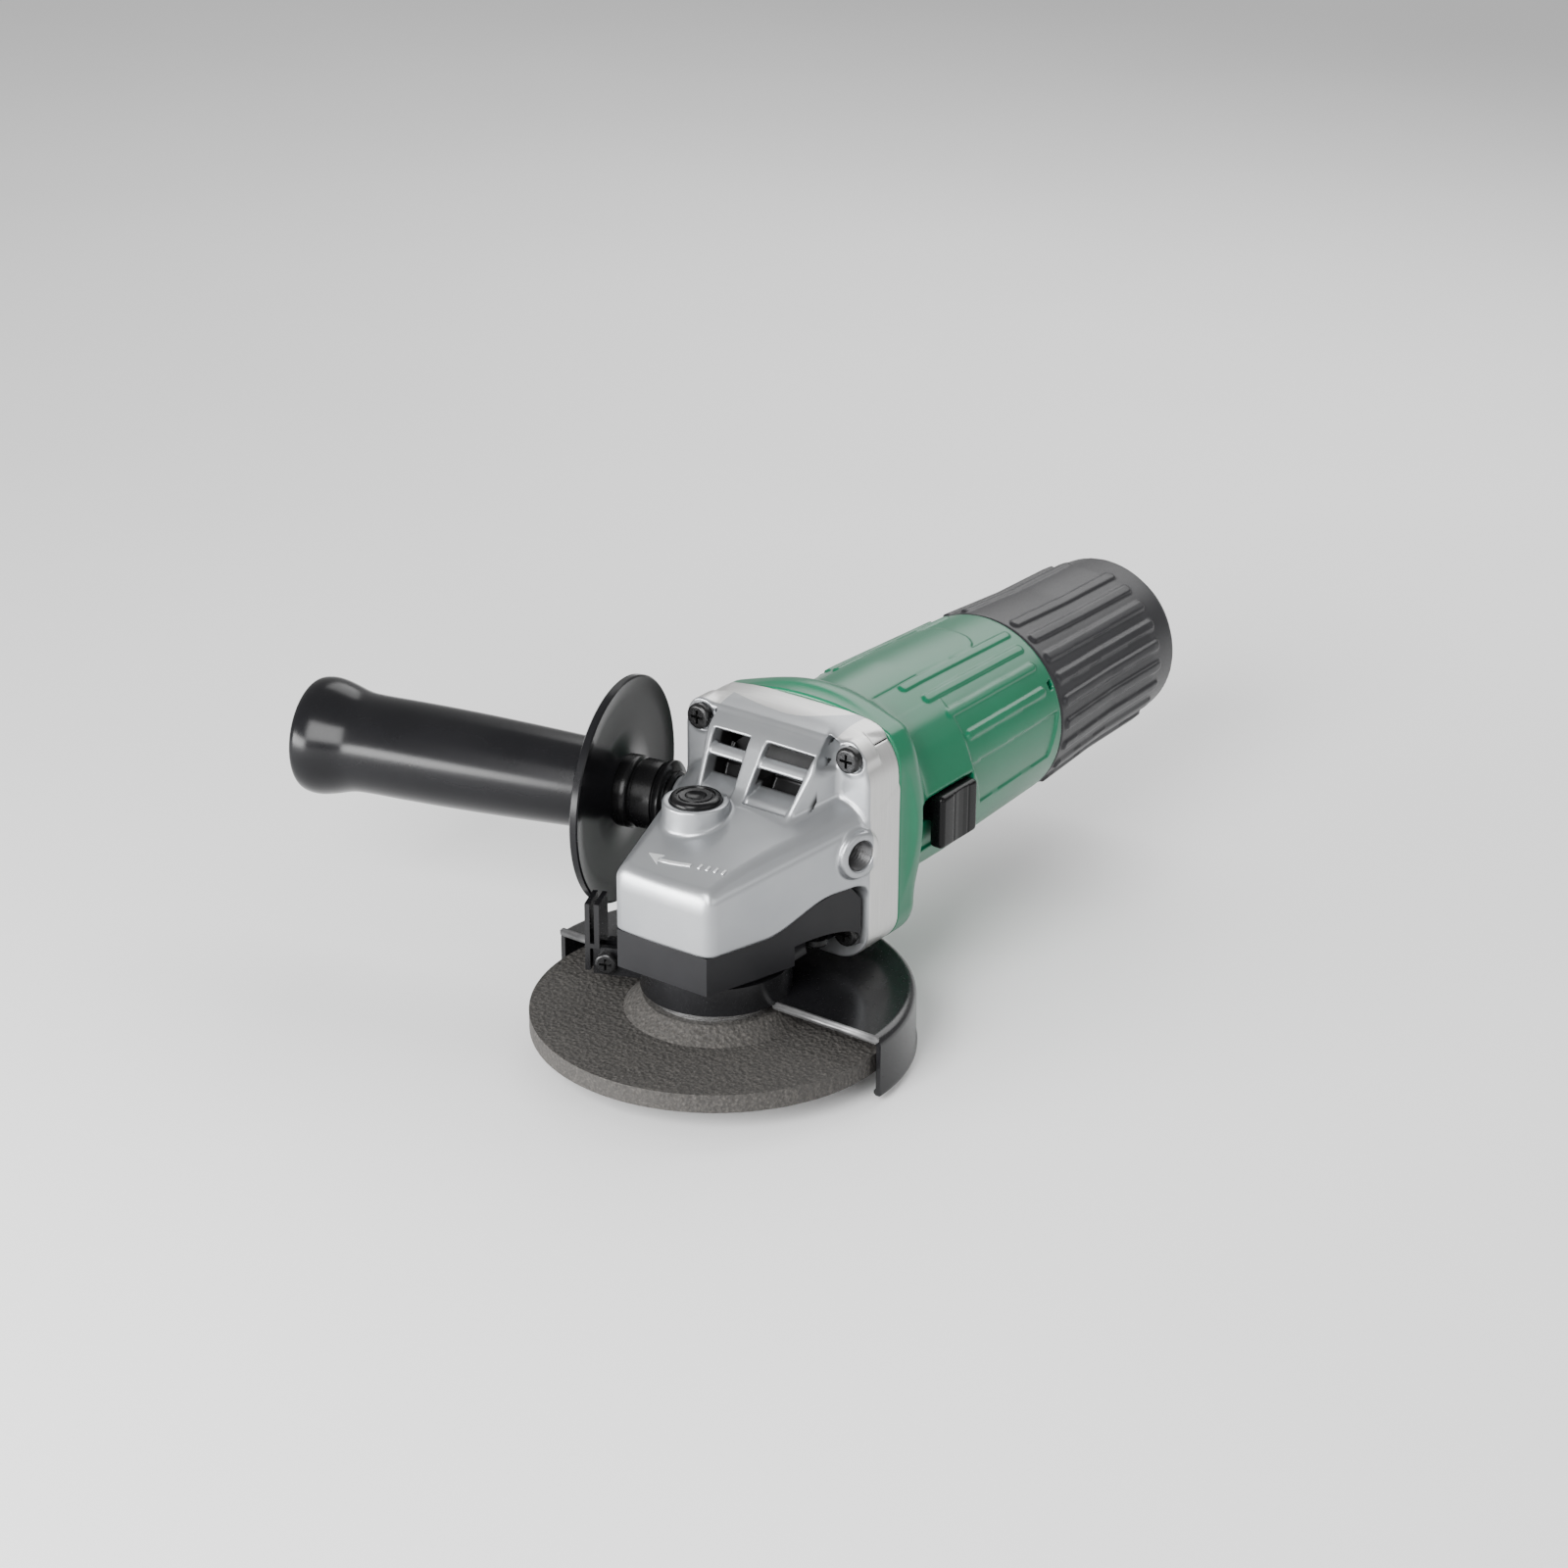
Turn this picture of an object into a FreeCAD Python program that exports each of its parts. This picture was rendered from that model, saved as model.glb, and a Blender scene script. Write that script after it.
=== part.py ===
import FreeCAD, Part
import Sketcher
import math
import os

# Compact angle grinder. Millimetres, +Z up, +X towards the tail, +Y towards the side handle.
# The origin is on the spindle axis, in the middle of the spindle's free threaded end.
# The armature lies along +X at motor_z; the spindle is vertical; bevel gears join them.

DRIVING = {
    # the two axes
    "motor_z": 60.7,
    # gear case
    "head_front_x": -27.8, "head_front_half": 17.7, "head_wide_x": 33.3, "case_half": 34.8,
    "flange_low_z": 22.0, "flange_high_z": 96.9, "flange_front_x": 30.0, "case_rear_x": 46.5,
    "flange_corner_r": 12.0, "head_floor_z": 42.0, "nose_bevel_z": 59.2, "nose_top_x": -26.3,
    "nose_top_z": 62.8, "deck_end_x": 9.7, "deck_end_z": 73.4, "deck_rear_z": 76.0,
    "vent_foot_x": 12.4, "vent_top_x": 24.5, "vent_top_z": 91.3, "brim_x": 36.5, "brim_z": 95.6,
    "vent_foot_half": 17.5, "vent_head_half": 22.8,
    "cavity_r": 21.4, "cavity_low_z": 43.5, "cavity_high_z": 59.5, "fan_bay_r": 30.0,
    # lock button
    "button_x": 2.4, "button_y": 9.4, "button_r": 8.0, "button_boss_r": 10.2, "button_rim_z": 76.4,
    "button_top_z": 77.75, "button_depth": 4.0, "button_well_z": 69.0, "lock_pin_r": 2.5,
    "lock_pin_tip_z": 54.6,
    # side handle sockets
    "socket_x": 27.1, "socket_y": 33.06, "socket_z": 60.55, "socket_lean_deg": 13.45,
    "socket_boss_r": 7.7, "socket_hole_r": 4.25, "socket_proud": 2.0, "socket_depth": 11.0,
    # side handle
    "collar_r": 11.0, "disc_near": 17.9, "disc_thick": 3.2, "disc_r": 36.4, "grip_length": 108.0,
    "grip_near_r": 14.2, "grip_far_r": 16.2,
    # spindle group
    "seat_r": 6.0, "top_journal_r": 4.0, "shoulder_r": 8.5, "thread_r": 7.0,
    "thread_low_z": -2.5, "undercut_r": 6.2, "undercut_low_z": 2.5, "undercut_high_z": 4.5,
    "spindle_top_z": 66.3, "shoulder_low_z": 18.9, "shoulder_high_z": 31.0,
    "bearing_high_z": 41.0, "bearing_r": 16.0, "flange_nut_low_z": 3.0, "wheel_seat_z": 15.0,
    "wheel_thick": 6.0, "wheel_r": 57.5, "wheel_drop": 4.5, "wheel_bore_r": 11.1,
    # bevel gears, straight teeth, apex where the two axes meet
    "gear_teeth": 36, "pinion_teeth": 12, "gear_pitch_r": 20.0, "face_width": 7.0,
    "tooth_above": 0.9, "tooth_below": 1.25, "tooth_half": 0.66,
    # bearing holder and guard
    "holder_floor_z": 29.5, "neck_r": 21.0, "guard_top_z": 18.4, "guard_sheet": 1.6,
    "guard_r": 61.5, "guard_skirt": 20.0, "band_r": 23.4, "band_high_z": 27.5,
    "lever_far": -40.2, "lever_near": -35.6, "lever_top_z": 42.5,
    # armature group, measured along the motor axis
    "armature_r": 17.0, "core_front_x": 60.0, "core_rear_x": 100.0, "air_gap": 0.6,
    "stator_r": 28.5, "stator_flat": 24.0, "commutator_r": 11.0, "commutator_x": 114.0,
    "front_bearing_x": 24.0, "rear_bearing_x": 134.0, "fan_r": 28.0, "fan_x": 36.0,
    # motor housing and tail cover
    "housing_bore_r": 28.7, "barrel_front_r": 33.6, "barrel_rear_r": 31.6, "blend_x": 57.0,
    "barrel_x": 68.0, "seam_x": 145.0, "spigot_r": 23.9, "tail_end_x": 229.0, "tail_wall": 2.6, "inlet_r": 4.5,
    "inlet_z": 52.0,
    # slide switch
    "knob_front_x": 67.0, "knob_rear_x": 87.0, "knob_low_z": 47.6, "knob_high_z": 65.4,
    "knob_face_y": -37.4, "slot_floor_y": -30.2,
    # running clearance of the fits
    "fit_gap": 0.05,
}

doc = FreeCAD.newDocument("angle_grinder")
sheet = doc.addObject("Spreadsheet::Sheet", "dims")
NODES = []


def fill_sheet():
    """Put every driving dimension in the sheet, one row each, under its own alias."""
    for row, (word, value) in enumerate(DRIVING.items(), start=1):
        sheet.set("A%d" % row, word)
        sheet.set("B%d" % row, str(value))
        sheet.setAlias("B%d" % row, word)
    doc.recompute()


class Size:
    """A length that carries both its number and the sheet expression it comes from."""

    def __init__(self, value, text=None):
        self.value = float(value)
        self.text = text if text is not None else "(%s)" % repr(float(value))

    def __add__(self, other):
        return join_sizes(self, other, "+", self.value + number(other))

    def __radd__(self, other):
        return self + other

    def __sub__(self, other):
        return join_sizes(self, other, "-", self.value - number(other))

    def __rsub__(self, other):
        return Size(other) - self

    def __mul__(self, other):
        return join_sizes(self, other, "*", self.value * number(other))

    def __rmul__(self, other):
        return self * other

    def __truediv__(self, other):
        return join_sizes(self, other, "/", self.value / number(other))

    def __neg__(self):
        return Size(0) - self


def number(thing):
    return thing.value if isinstance(thing, Size) else float(thing)


def words(thing):
    return thing.text if isinstance(thing, Size) else "(%s)" % repr(float(thing))


def join_sizes(first, second, sign, value):
    return Size(value, "(%s %s %s)" % (words(first), sign, words(second)))


def dim(word):
    """The named driving dimension as a Size."""
    return Size(DRIVING[word], "<<dims>>.%s" % word)


def bind(thing, prop, size):
    thing.setExpression(prop, words(size))


def vector(x=0.0, y=0.0, z=0.0):
    return FreeCAD.Vector(number(x), number(y), number(z))


def place(thing, x=0.0, y=0.0, z=0.0, rotation=None):
    """Give an object its Placement, with the base bound to the sheet."""
    if rotation is not None:
        thing.Placement = FreeCAD.Placement(vector(), rotation)
    bind(thing, "Placement.Base.x", x)
    bind(thing, "Placement.Base.y", y)
    bind(thing, "Placement.Base.z", z)
    return thing


BAND_TURN = FreeCAD.Rotation(FreeCAD.Vector(0, 0, 1), -67)
ALONG_X = FreeCAD.Rotation(FreeCAD.Vector(0, 1, 0), 90)
ALONG_Y = FreeCAD.Rotation(FreeCAD.Vector(1, 0, 0), -90)
PLANES = {
    "XY_Plane": FreeCAD.Rotation(),
    "XZ_Plane": FreeCAD.Rotation(FreeCAD.Vector(1, 0, 0), 90),
    "YZ_Plane": FreeCAD.Rotation(FreeCAD.Vector(1, 1, 1), 120),
}


def draw(sketch, points):
    """A closed outline of straight lines, every corner held by two bound distances."""
    count = len(points)
    for index in range(count):
        here = points[index]
        there = points[(index + 1) % count]
        line = Part.LineSegment(vector(here[0], here[1]), vector(there[0], there[1]))
        sketch.addGeometry(line, False)
    for index in range(count):
        sketch.addConstraint(Sketcher.Constraint("Coincident", index, 2, (index + 1) % count, 1))
    for index, (across, up) in enumerate(points):
        for kind, size in (("DistanceX", across), ("DistanceY", up)):
            rule = Sketcher.Constraint(kind, -1, 1, index, 1, number(size))
            place_in_list = sketch.addConstraint(rule)
            sketch.setExpression("Constraints[%d]" % place_in_list, words(size))


def new_body(label):
    body = doc.addObject("PartDesign::Body", label)
    body.Label = label
    return body


def body_sketch(body, role, name, points):
    sketch = body.newObject("Sketcher::SketchObject", name)
    plane = [item for item in body.Origin.OriginFeatures if item.Role == role][0]
    sketch.AttachmentSupport = [(plane, "")]
    sketch.MapMode = "FlatFace"
    draw(sketch, points)
    return sketch


def turned(label, points, lengthwise=False, keep=True):
    """A turned piece. Points are (radius, z), or (x, radius) about the motor axis."""
    body = new_body(label)
    sketch = body_sketch(body, "XZ_Plane", label + "_profile", points)
    turn = body.newObject("PartDesign::Revolution", label + "_turn")
    turn.Profile = sketch
    turn.ReferenceAxis = (sketch, ["H_Axis" if lengthwise else "V_Axis"])
    turn.Angle = 360
    if lengthwise:
        place(body, 0, 0, dim("motor_z"))
    return node(body) if keep else body


def ring(label, inner, outer, low, high, lengthwise=False, keep=True):
    """A plain ring or sleeve between two radii and two ends."""
    if lengthwise:
        points = [(low, inner), (high, inner), (high, outer), (low, outer)]
    else:
        points = [(inner, low), (outer, low), (outer, high), (inner, high)]
    return turned(label, points, lengthwise, keep)


def prism(label, role, points, low, high):
    """A straight extrusion of an outline, from low to high along the plane's normal."""
    sketch = doc.addObject("Sketcher::SketchObject", label + "_outline")
    sketch.Placement = FreeCAD.Placement(vector(), PLANES[role])
    draw(sketch, points)
    solid = doc.addObject("Part::Extrusion", label)
    solid.Base = sketch
    solid.DirMode = "Normal"
    solid.Solid = True
    bind(solid, "LengthFwd", high)
    bind(solid, "LengthRev", Size(0) - low)
    return solid


def cylinder(label, radius, low, high, x=0.0, y=0.0, z=0.0, direction="Z"):
    """A round bar along one axis, from low to high, centred on the other two coordinates."""
    bar = doc.addObject("Part::Cylinder", label)
    bind(bar, "Radius", radius)
    bind(bar, "Height", high - low if isinstance(high, Size) else Size(high) - low)
    if direction == "X":
        return place(bar, low, y, z, ALONG_X)
    if direction == "Y":
        return place(bar, x, low, z, ALONG_Y)
    return place(bar, x, y, low)


def block(label, low, high):
    """A box between two opposite corners."""
    box = doc.addObject("Part::Box", label)
    for prop, first, last in zip(("Length", "Width", "Height"), low, high):
        bind(box, prop, Size(0) + last - first)
    return place(box, low[0], low[1], low[2])


def fused(label, pieces):
    whole = doc.addObject("Part::MultiFuse", label)
    whole.Shapes = pieces
    return whole


def shared(label, first, second):
    part = doc.addObject("Part::Common", label)
    part.Base = first
    part.Tool = second
    return part


def cut(label, base, tools):
    """The base with the tools taken away."""
    result = doc.addObject("Part::Cut", label)
    result.Base = base
    result.Tool = tools[0] if len(tools) == 1 else fused(label + "_tools", tools)
    return result


def rounded(label, base, direction, radius_word, keep_edge):
    """The base with the straight edges that run along a direction rounded."""
    doc.recompute()
    chosen = []
    for index, edge in enumerate(base.Shape.Edges, start=1):
        if len(edge.Vertexes) != 2:
            continue
        run = edge.Vertexes[1].Point.sub(edge.Vertexes[0].Point)
        if abs(abs(run.normalize().dot(direction)) - 1) < 1e-6 and keep_edge(edge.CenterOfMass):
            chosen.append((index, DRIVING[radius_word], DRIVING[radius_word]))
    soft = doc.addObject("Part::Fillet", label)
    soft.Base = base
    soft.Edges = chosen
    return soft


def node(thing, label=None):
    """Mark an object as a finished sub-part; its label names its file."""
    if label is not None:
        thing.Label = label
    NODES.append(thing)
    return thing


def shape_node(label, shape):
    """A sub-part whose shape is worked out here, when no feature makes it directly."""
    feature = doc.addObject("Part::Feature", label)
    feature.Shape = shape
    feature.Placement = shape.Placement
    return node(feature, label)


# ---------------------------------------------------------------- gear case

def head_plan(label, low, high, inset=0.0):
    """The head seen from above: narrow nose, straight flaring sides, full width at the rear."""
    front_x = dim("head_front_x") + inset
    wide_x = dim("head_wide_x")
    front_y = dim("head_front_half") - inset
    half = dim("case_half") - inset
    rear_x = dim("case_rear_x")
    points = [(front_x, -front_y), (wide_x, -half), (rear_x, -half),
              (rear_x, half), (wide_x, half), (front_x, front_y)]
    return prism(label, "XY_Plane", points, low, high)


def parting_line(rear):
    """Where the head's side walls end below: level at the nose, arched up, down to the flange."""
    floor = dim("head_floor_z")
    arch = floor + 7.5
    return [(Size(-4), floor), (Size(10), floor + 5.2), (Size(20), arch), (rear - 4, arch),
            (rear, arch - 5)]


def gear_case():
    """The cast head: nose, sloping deck, vent hood, screw flange, bosses and inner cavities."""
    across = dim("case_half") + 5
    sunk_x = dim("flange_front_x") + 1
    side = [(dim("head_front_x") - 1, dim("head_floor_z"))] + parting_line(sunk_x)
    side += [(sunk_x, dim("flange_low_z") - 1),
             (dim("case_rear_x"), dim("flange_low_z") - 1),
             (dim("case_rear_x"), dim("deck_rear_z")), (dim("deck_end_x") + 4, dim("deck_rear_z")),
             (dim("deck_end_x"), dim("deck_end_z")), (dim("nose_top_x"), dim("nose_top_z")),
             (dim("head_front_x"), dim("nose_bevel_z")), (dim("head_front_x") - 1, dim("nose_bevel_z"))]
    profile = prism("head_side", "XZ_Plane", side, -across, across)
    head = shared("head_block", head_plan("head_footprint", dim("flange_low_z"), Size(80)), profile)
    flange_box = block("flange_box",
                       (dim("flange_front_x"), -dim("case_half"), dim("flange_low_z")),
                       (dim("case_rear_x"), dim("case_half"), dim("flange_high_z")))
    brim_side = [(dim("flange_front_x") - 1, dim("flange_low_z") - 1),
                 (dim("case_rear_x") + 1, dim("flange_low_z") - 1),
                 (dim("case_rear_x") + 1, dim("flange_high_z")), (dim("case_rear_x"), dim("flange_high_z")),
                 (dim("brim_x"), dim("brim_z")), (dim("vent_top_x") + 3, dim("vent_top_z") + 1.1)]
    flange = shared("flange_plate", rounded("flange_block", flange_box, FreeCAD.Vector(1, 0, 0),
                                            "flange_corner_r", lambda point: True),
                    prism("flange_profile", "XZ_Plane", brim_side, -across, across))
    trimmed_head = shared("head_trimmed", head, rounded(
        "head_envelope", block("head_envelope_box",
                               (dim("head_front_x") - 2, -dim("case_half"), dim("flange_low_z")),
                               (dim("case_rear_x"), dim("case_half"), dim("flange_high_z"))),
        FreeCAD.Vector(1, 0, 0), "flange_corner_r", lambda point: True))
    hood_side = [(dim("vent_foot_x") - 3, dim("deck_end_z") - 5), (dim("vent_foot_x"), dim("deck_end_z")),
                 (dim("vent_top_x"), dim("vent_top_z")), (dim("brim_x"), dim("brim_z")),
                 (dim("case_rear_x"), dim("flange_high_z")), (dim("case_rear_x"), dim("deck_end_z") - 5)]
    deep_x = dim("flange_front_x") + 2
    hood_plan = [(dim("vent_foot_x") - 5, -dim("vent_foot_half")), (deep_x, -dim("vent_head_half")),
                 (deep_x, dim("vent_head_half")), (dim("vent_foot_x") - 5, dim("vent_foot_half"))]
    hood = shared("vent_hood", prism("hood_profile", "XZ_Plane", hood_side, -across, across),
                  prism("hood_footprint", "XY_Plane", hood_plan, Size(60), dim("flange_high_z")))
    boss = cylinder("button_boss", dim("button_boss_r"), dim("button_well_z") - 4,
                    dim("button_rim_z"), dim("button_x"), dim("button_y"))
    outer = fused("case_outer", [trimmed_head, flange, hood, boss, socket("right_socket_boss", 1),
                                 socket("left_socket_boss", -1)])
    node(cut("gear_case_body", outer, case_hollows()), "gear_case")


def socket_turn(side):
    """The turn that stands a +Z bar along a handle socket's outward axis."""
    lean = math.radians(DRIVING["socket_lean_deg"])
    outward = FreeCAD.Vector(-math.sin(lean), side * math.cos(lean), 0)
    return FreeCAD.Rotation(FreeCAD.Vector(0, 0, 1), outward), outward


def along_socket(thing, side, distance):
    """Stand a piece on a handle socket's axis, its base this far out from the boss's face."""
    turn, outward = socket_turn(side)
    reach = distance + dim("socket_proud")
    return place(thing, dim("socket_x") + reach * outward.x,
                 dim("socket_y") * side + reach * outward.y, dim("socket_z"), turn)


def socket(label, side):
    """The round boss that a side handle screws into."""
    bar = doc.addObject("Part::Cylinder", label)
    bind(bar, "Radius", dim("socket_boss_r"))
    bind(bar, "Height", dim("socket_depth") + 1)
    return along_socket(bar, side, -dim("socket_depth") - 1)


def socket_hole(label, side):
    bar = doc.addObject("Part::Cylinder", label)
    bind(bar, "Radius", dim("socket_hole_r"))
    bind(bar, "Height", dim("socket_depth") + 1)
    return along_socket(bar, side, -dim("socket_depth"))


def screw_places():
    """Centres of the four screws that hold the gear case to the motor housing."""
    across = Size(28.1)
    up = Size(29.0)
    return [(side * across, dim("motor_z") + lift * up) for side in (-1, 1) for lift in (-1, 1)]


def case_hollows():
    axis_z = dim("motor_z")
    hollows = [
        cylinder("gear_cavity", dim("cavity_r"), dim("head_floor_z") - 20, dim("cavity_high_z")),
        cylinder("pinion_tunnel", Size(8.8), Size(8.5), Size(24.5), z=axis_z, direction="X"),
        cylinder("front_bearing_seat", Size(12), dim("front_bearing_x"), Size(31.5), z=axis_z,
                 direction="X"),
        cylinder("fan_bay", dim("fan_bay_r"), Size(33), dim("case_rear_x") + 1, z=axis_z,
                 direction="X"),
        cylinder("shaft_gap", Size(7), Size(31), Size(34), z=axis_z, direction="X"),
        cylinder("bush_seat", Size(6.5), dim("cavity_high_z") - 1, dim("spindle_top_z") + 0.4),
        cylinder("button_well", dim("button_r") + dim("fit_gap"), dim("button_well_z"),
                 dim("button_rim_z") + 1, dim("button_x"), dim("button_y")),
        cylinder("pin_bore", dim("lock_pin_r") + dim("fit_gap"), dim("cavity_high_z") - 1,
                 dim("button_well_z") + 1, dim("button_x"), dim("button_y")),
        socket_hole("right_socket_hole", 1),
        socket_hole("left_socket_hole", -1),
    ]
    air_side = [(Size(20.5), Size(78.5)), (Size(26.5), Size(90.0)), (Size(47.5), Size(91.0)),
                (Size(47.5), Size(78.5))]
    hollows.append(prism("air_duct", "XZ_Plane", air_side, Size(-19.5), Size(19.5)))
    for row, low in (("low", 80.0), ("high", 85.6)):
        for column, left, right in (("left", -18.5, -2.6), ("right", 2.6, 18.5)):
            hollows.append(block("vent_%s_%s" % (row, column), (Size(10), Size(left), Size(low)),
                                 (Size(32), Size(right), Size(low + 4.0))))
    for index, (across, up) in enumerate(screw_places()):
        hollows.append(cylinder("case_screw_hole%d" % index, Size(2.1), Size(20),
                                dim("case_rear_x") + 1, y=across, z=up, direction="X"))
        hollows.append(cylinder("case_screw_pocket%d" % index, Size(4.6), Size(5),
                                dim("flange_front_x") + 0.4, y=across, z=up, direction="X"))
    for index, (x, y) in enumerate(holder_screw_places()):
        hollows.append(cylinder("holder_thread%d" % index, Size(1.6), dim("head_floor_z") - 1,
                                dim("head_floor_z") + 12, x, y))
    return hollows


# ---------------------------------------------------------------- bearing holder and guard

def holder_screw_places():
    return [(Size(-19.5), Size(-13.5)), (Size(-19.5), Size(13.5)),
            (Size(18.5), Size(-24.0)), (Size(18.5), Size(24.0))]


def bearing_holder():
    """The cover under the head: it holds the spindle bearing and the guard's neck."""
    rear = dim("flange_front_x") - 0.3
    side = [(dim("head_front_x") - 1, dim("holder_floor_z")),
            (dim("head_front_x") - 1, dim("head_floor_z"))] + parting_line(rear)
    side.append((rear, dim("holder_floor_z")))
    across = dim("case_half") + 5
    profile = prism("holder_side", "XZ_Plane", side, -across, across)
    slab = shared("holder_slab", head_plan("holder_footprint", dim("holder_floor_z"), Size(55), 0.8),
                  profile)
    neck = cylinder("holder_neck", dim("neck_r"), dim("shoulder_low_z"),
                    dim("holder_floor_z") + 1)
    hollows = [
        cylinder("holder_cavity", dim("cavity_r"), dim("cavity_low_z"), Size(60)),
        cylinder("spindle_bearing_seat", dim("bearing_r"), dim("shoulder_high_z"),
                 dim("cavity_low_z") + 1),
        cylinder("neck_bore", Size(13.0), Size(10), dim("shoulder_high_z") + 1),
        cylinder("holder_bearing_gap", Size(12.6), Size(20), Size(40), z=dim("motor_z"),
                 direction="X"),
    ]
    for index, (across, up) in enumerate(screw_places()):
        hollows.append(cylinder("case_screw_groove%d" % index, Size(4.8), Size(5), Size(32), y=across,
                                z=up, direction="X"))
    for index, (x, y) in enumerate(holder_screw_places()):
        hollows.append(cylinder("holder_screw_hole%d" % index, Size(2.1), Size(20), Size(60), x, y))
        hollows.append(cylinder("holder_screw_pocket%d" % index, Size(4.2), Size(20),
                                dim("holder_floor_z") + 4, x, y))
    node(cut("bearing_holder_body", fused("holder_outer", [slab, neck]), hollows), "bearing_holder")


def screw_shape(head_r, head_high, shank_r, length):
    """A cross-recess pan-head screw along +X: the head's back at 0, the shank to length."""
    head = Part.makeCylinder(head_r, head_high, FreeCAD.Vector(-head_high, 0, 0),
                             FreeCAD.Vector(1, 0, 0))
    rim = [edge for edge in head.Edges if abs(edge.CenterOfMass.x + head_high) < 1e-6
           and edge.Closed]
    head = head.makeFillet(head_high * 0.4, rim)
    shank = Part.makeCylinder(shank_r, length, FreeCAD.Vector(0, 0, 0), FreeCAD.Vector(1, 0, 0))
    whole = head.fuse(shank)
    arm = head_r * 1.1
    slot = 0.22 * head_r
    for turn in (0, 90):
        bar = Part.makeBox(head_high * 0.6, arm, slot, FreeCAD.Vector(-head_high, -arm / 2, -slot / 2))
        bar.rotate(FreeCAD.Vector(0, 0, 0), FreeCAD.Vector(1, 0, 0), turn)
        whole = whole.cut(bar)
    return whole


def screws():
    case = []
    for across, up in screw_places():
        one = screw_shape(4.2, 3.0, 2.0, 25.0)
        one.translate(FreeCAD.Vector(DRIVING["flange_front_x"] + 0.4, number(across), number(up)))
        case.append(one)
    shape_node("gear_case_screws", Part.makeCompound(case))
    holder = []
    for x, y in holder_screw_places():
        one = screw_shape(3.8, 2.6, 1.6, 15.0)
        one.rotate(FreeCAD.Vector(0, 0, 0), FreeCAD.Vector(0, 1, 0), -90)
        one.translate(FreeCAD.Vector(number(x), number(y), DRIVING["holder_floor_z"] + 4))
        holder.append(one)
    shape_node("holder_screws", Part.makeCompound(holder))


def guard():
    """Half-round sheet guard with its clamp band round the neck and an upright clamp lever."""
    high = dim("guard_top_z")
    low = high - dim("guard_sheet")
    outer = dim("guard_r")
    foot = high - dim("guard_skirt")
    points = [(dim("neck_r") + 0.2, low), (outer - 1.6, low), (outer - 1.6, foot), (outer, foot),
              (outer, high), (dim("neck_r") + 0.2, high)]
    body = new_body("wheel_guard")
    sketch = body_sketch(body, "XZ_Plane", "guard_profile", points)
    sweep = body.newObject("PartDesign::Revolution", "guard_sweep")
    sweep.Profile = sketch
    sweep.ReferenceAxis = (sketch, ["V_Axis"])
    sweep.Angle = 180
    sweep.Midplane = True
    node(body)
    band_low = high
    band_high = dim("band_high_z")
    middle = (number(band_low) + number(band_high)) / 2
    reach = 33.5
    band = ring("band_ring", dim("neck_r") + 0.2, dim("band_r"), band_low, band_high, keep=False)
    ears = block("band_ears", (Size(-38), Size(-3.6), band_low), (Size(-21.6), Size(3.6), band_high))
    gap = block("band_gap", (Size(-39), Size(-1.6), band_low - 1), (Size(-18), Size(1.6), band_high + 1))
    hole = cylinder("band_screw_hole", Size(2.1), Size(-6), Size(6), x=Size(-reach), z=Size(middle),
                    direction="Y")
    clamp = cut("guard_band_body", fused("band_outer", [band, ears]), [gap, hole])
    clamp.Placement = FreeCAD.Placement(vector(), BAND_TURN)
    node(clamp, "guard_band")
    lever_plates = [
        block("lever_outer", (dim("lever_far"), Size(-5), Size(20)),
              (dim("lever_far") + 1.6, Size(5), dim("lever_top_z"))),
        block("lever_inner", (dim("lever_near") - 1.6, Size(-5), band_high),
              (dim("lever_near"), Size(5), dim("lever_top_z"))),
        block("lever_web", (dim("lever_far"), Size(-5), band_high),
              (dim("lever_near"), Size(5), band_high + 1.6))]
    lever = fused("clamp_lever_body", lever_plates)
    lever.Placement = FreeCAD.Placement(vector(), BAND_TURN)
    node(lever, "clamp_lever")
    screw = screw_shape(3.6, 2.6, 2.0, 12.0)
    screw.rotate(FreeCAD.Vector(0, 0, 0), FreeCAD.Vector(0, 0, 1), 90)
    screw.translate(FreeCAD.Vector(-reach, -3.6, middle))
    corners = [FreeCAD.Vector(4.0 * math.cos(math.radians(60 * turn)), 0,
                              4.0 * math.sin(math.radians(60 * turn))) for turn in range(7)]
    nut = Part.Face(Part.makePolygon(corners)).extrude(FreeCAD.Vector(0, 3.2, 0))
    nut = nut.cut(Part.makeCylinder(2.0, 10, FreeCAD.Vector(0, -3, 0), FreeCAD.Vector(0, 1, 0)))
    nut.translate(FreeCAD.Vector(-reach, 3.6, middle))
    for label, solid in (("band_screw", screw), ("band_nut", nut)):
        solid.Placement = FreeCAD.Placement(vector(), BAND_TURN).multiply(solid.Placement)
        shape_node(label, solid)


# ---------------------------------------------------------------- spindle group

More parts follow.
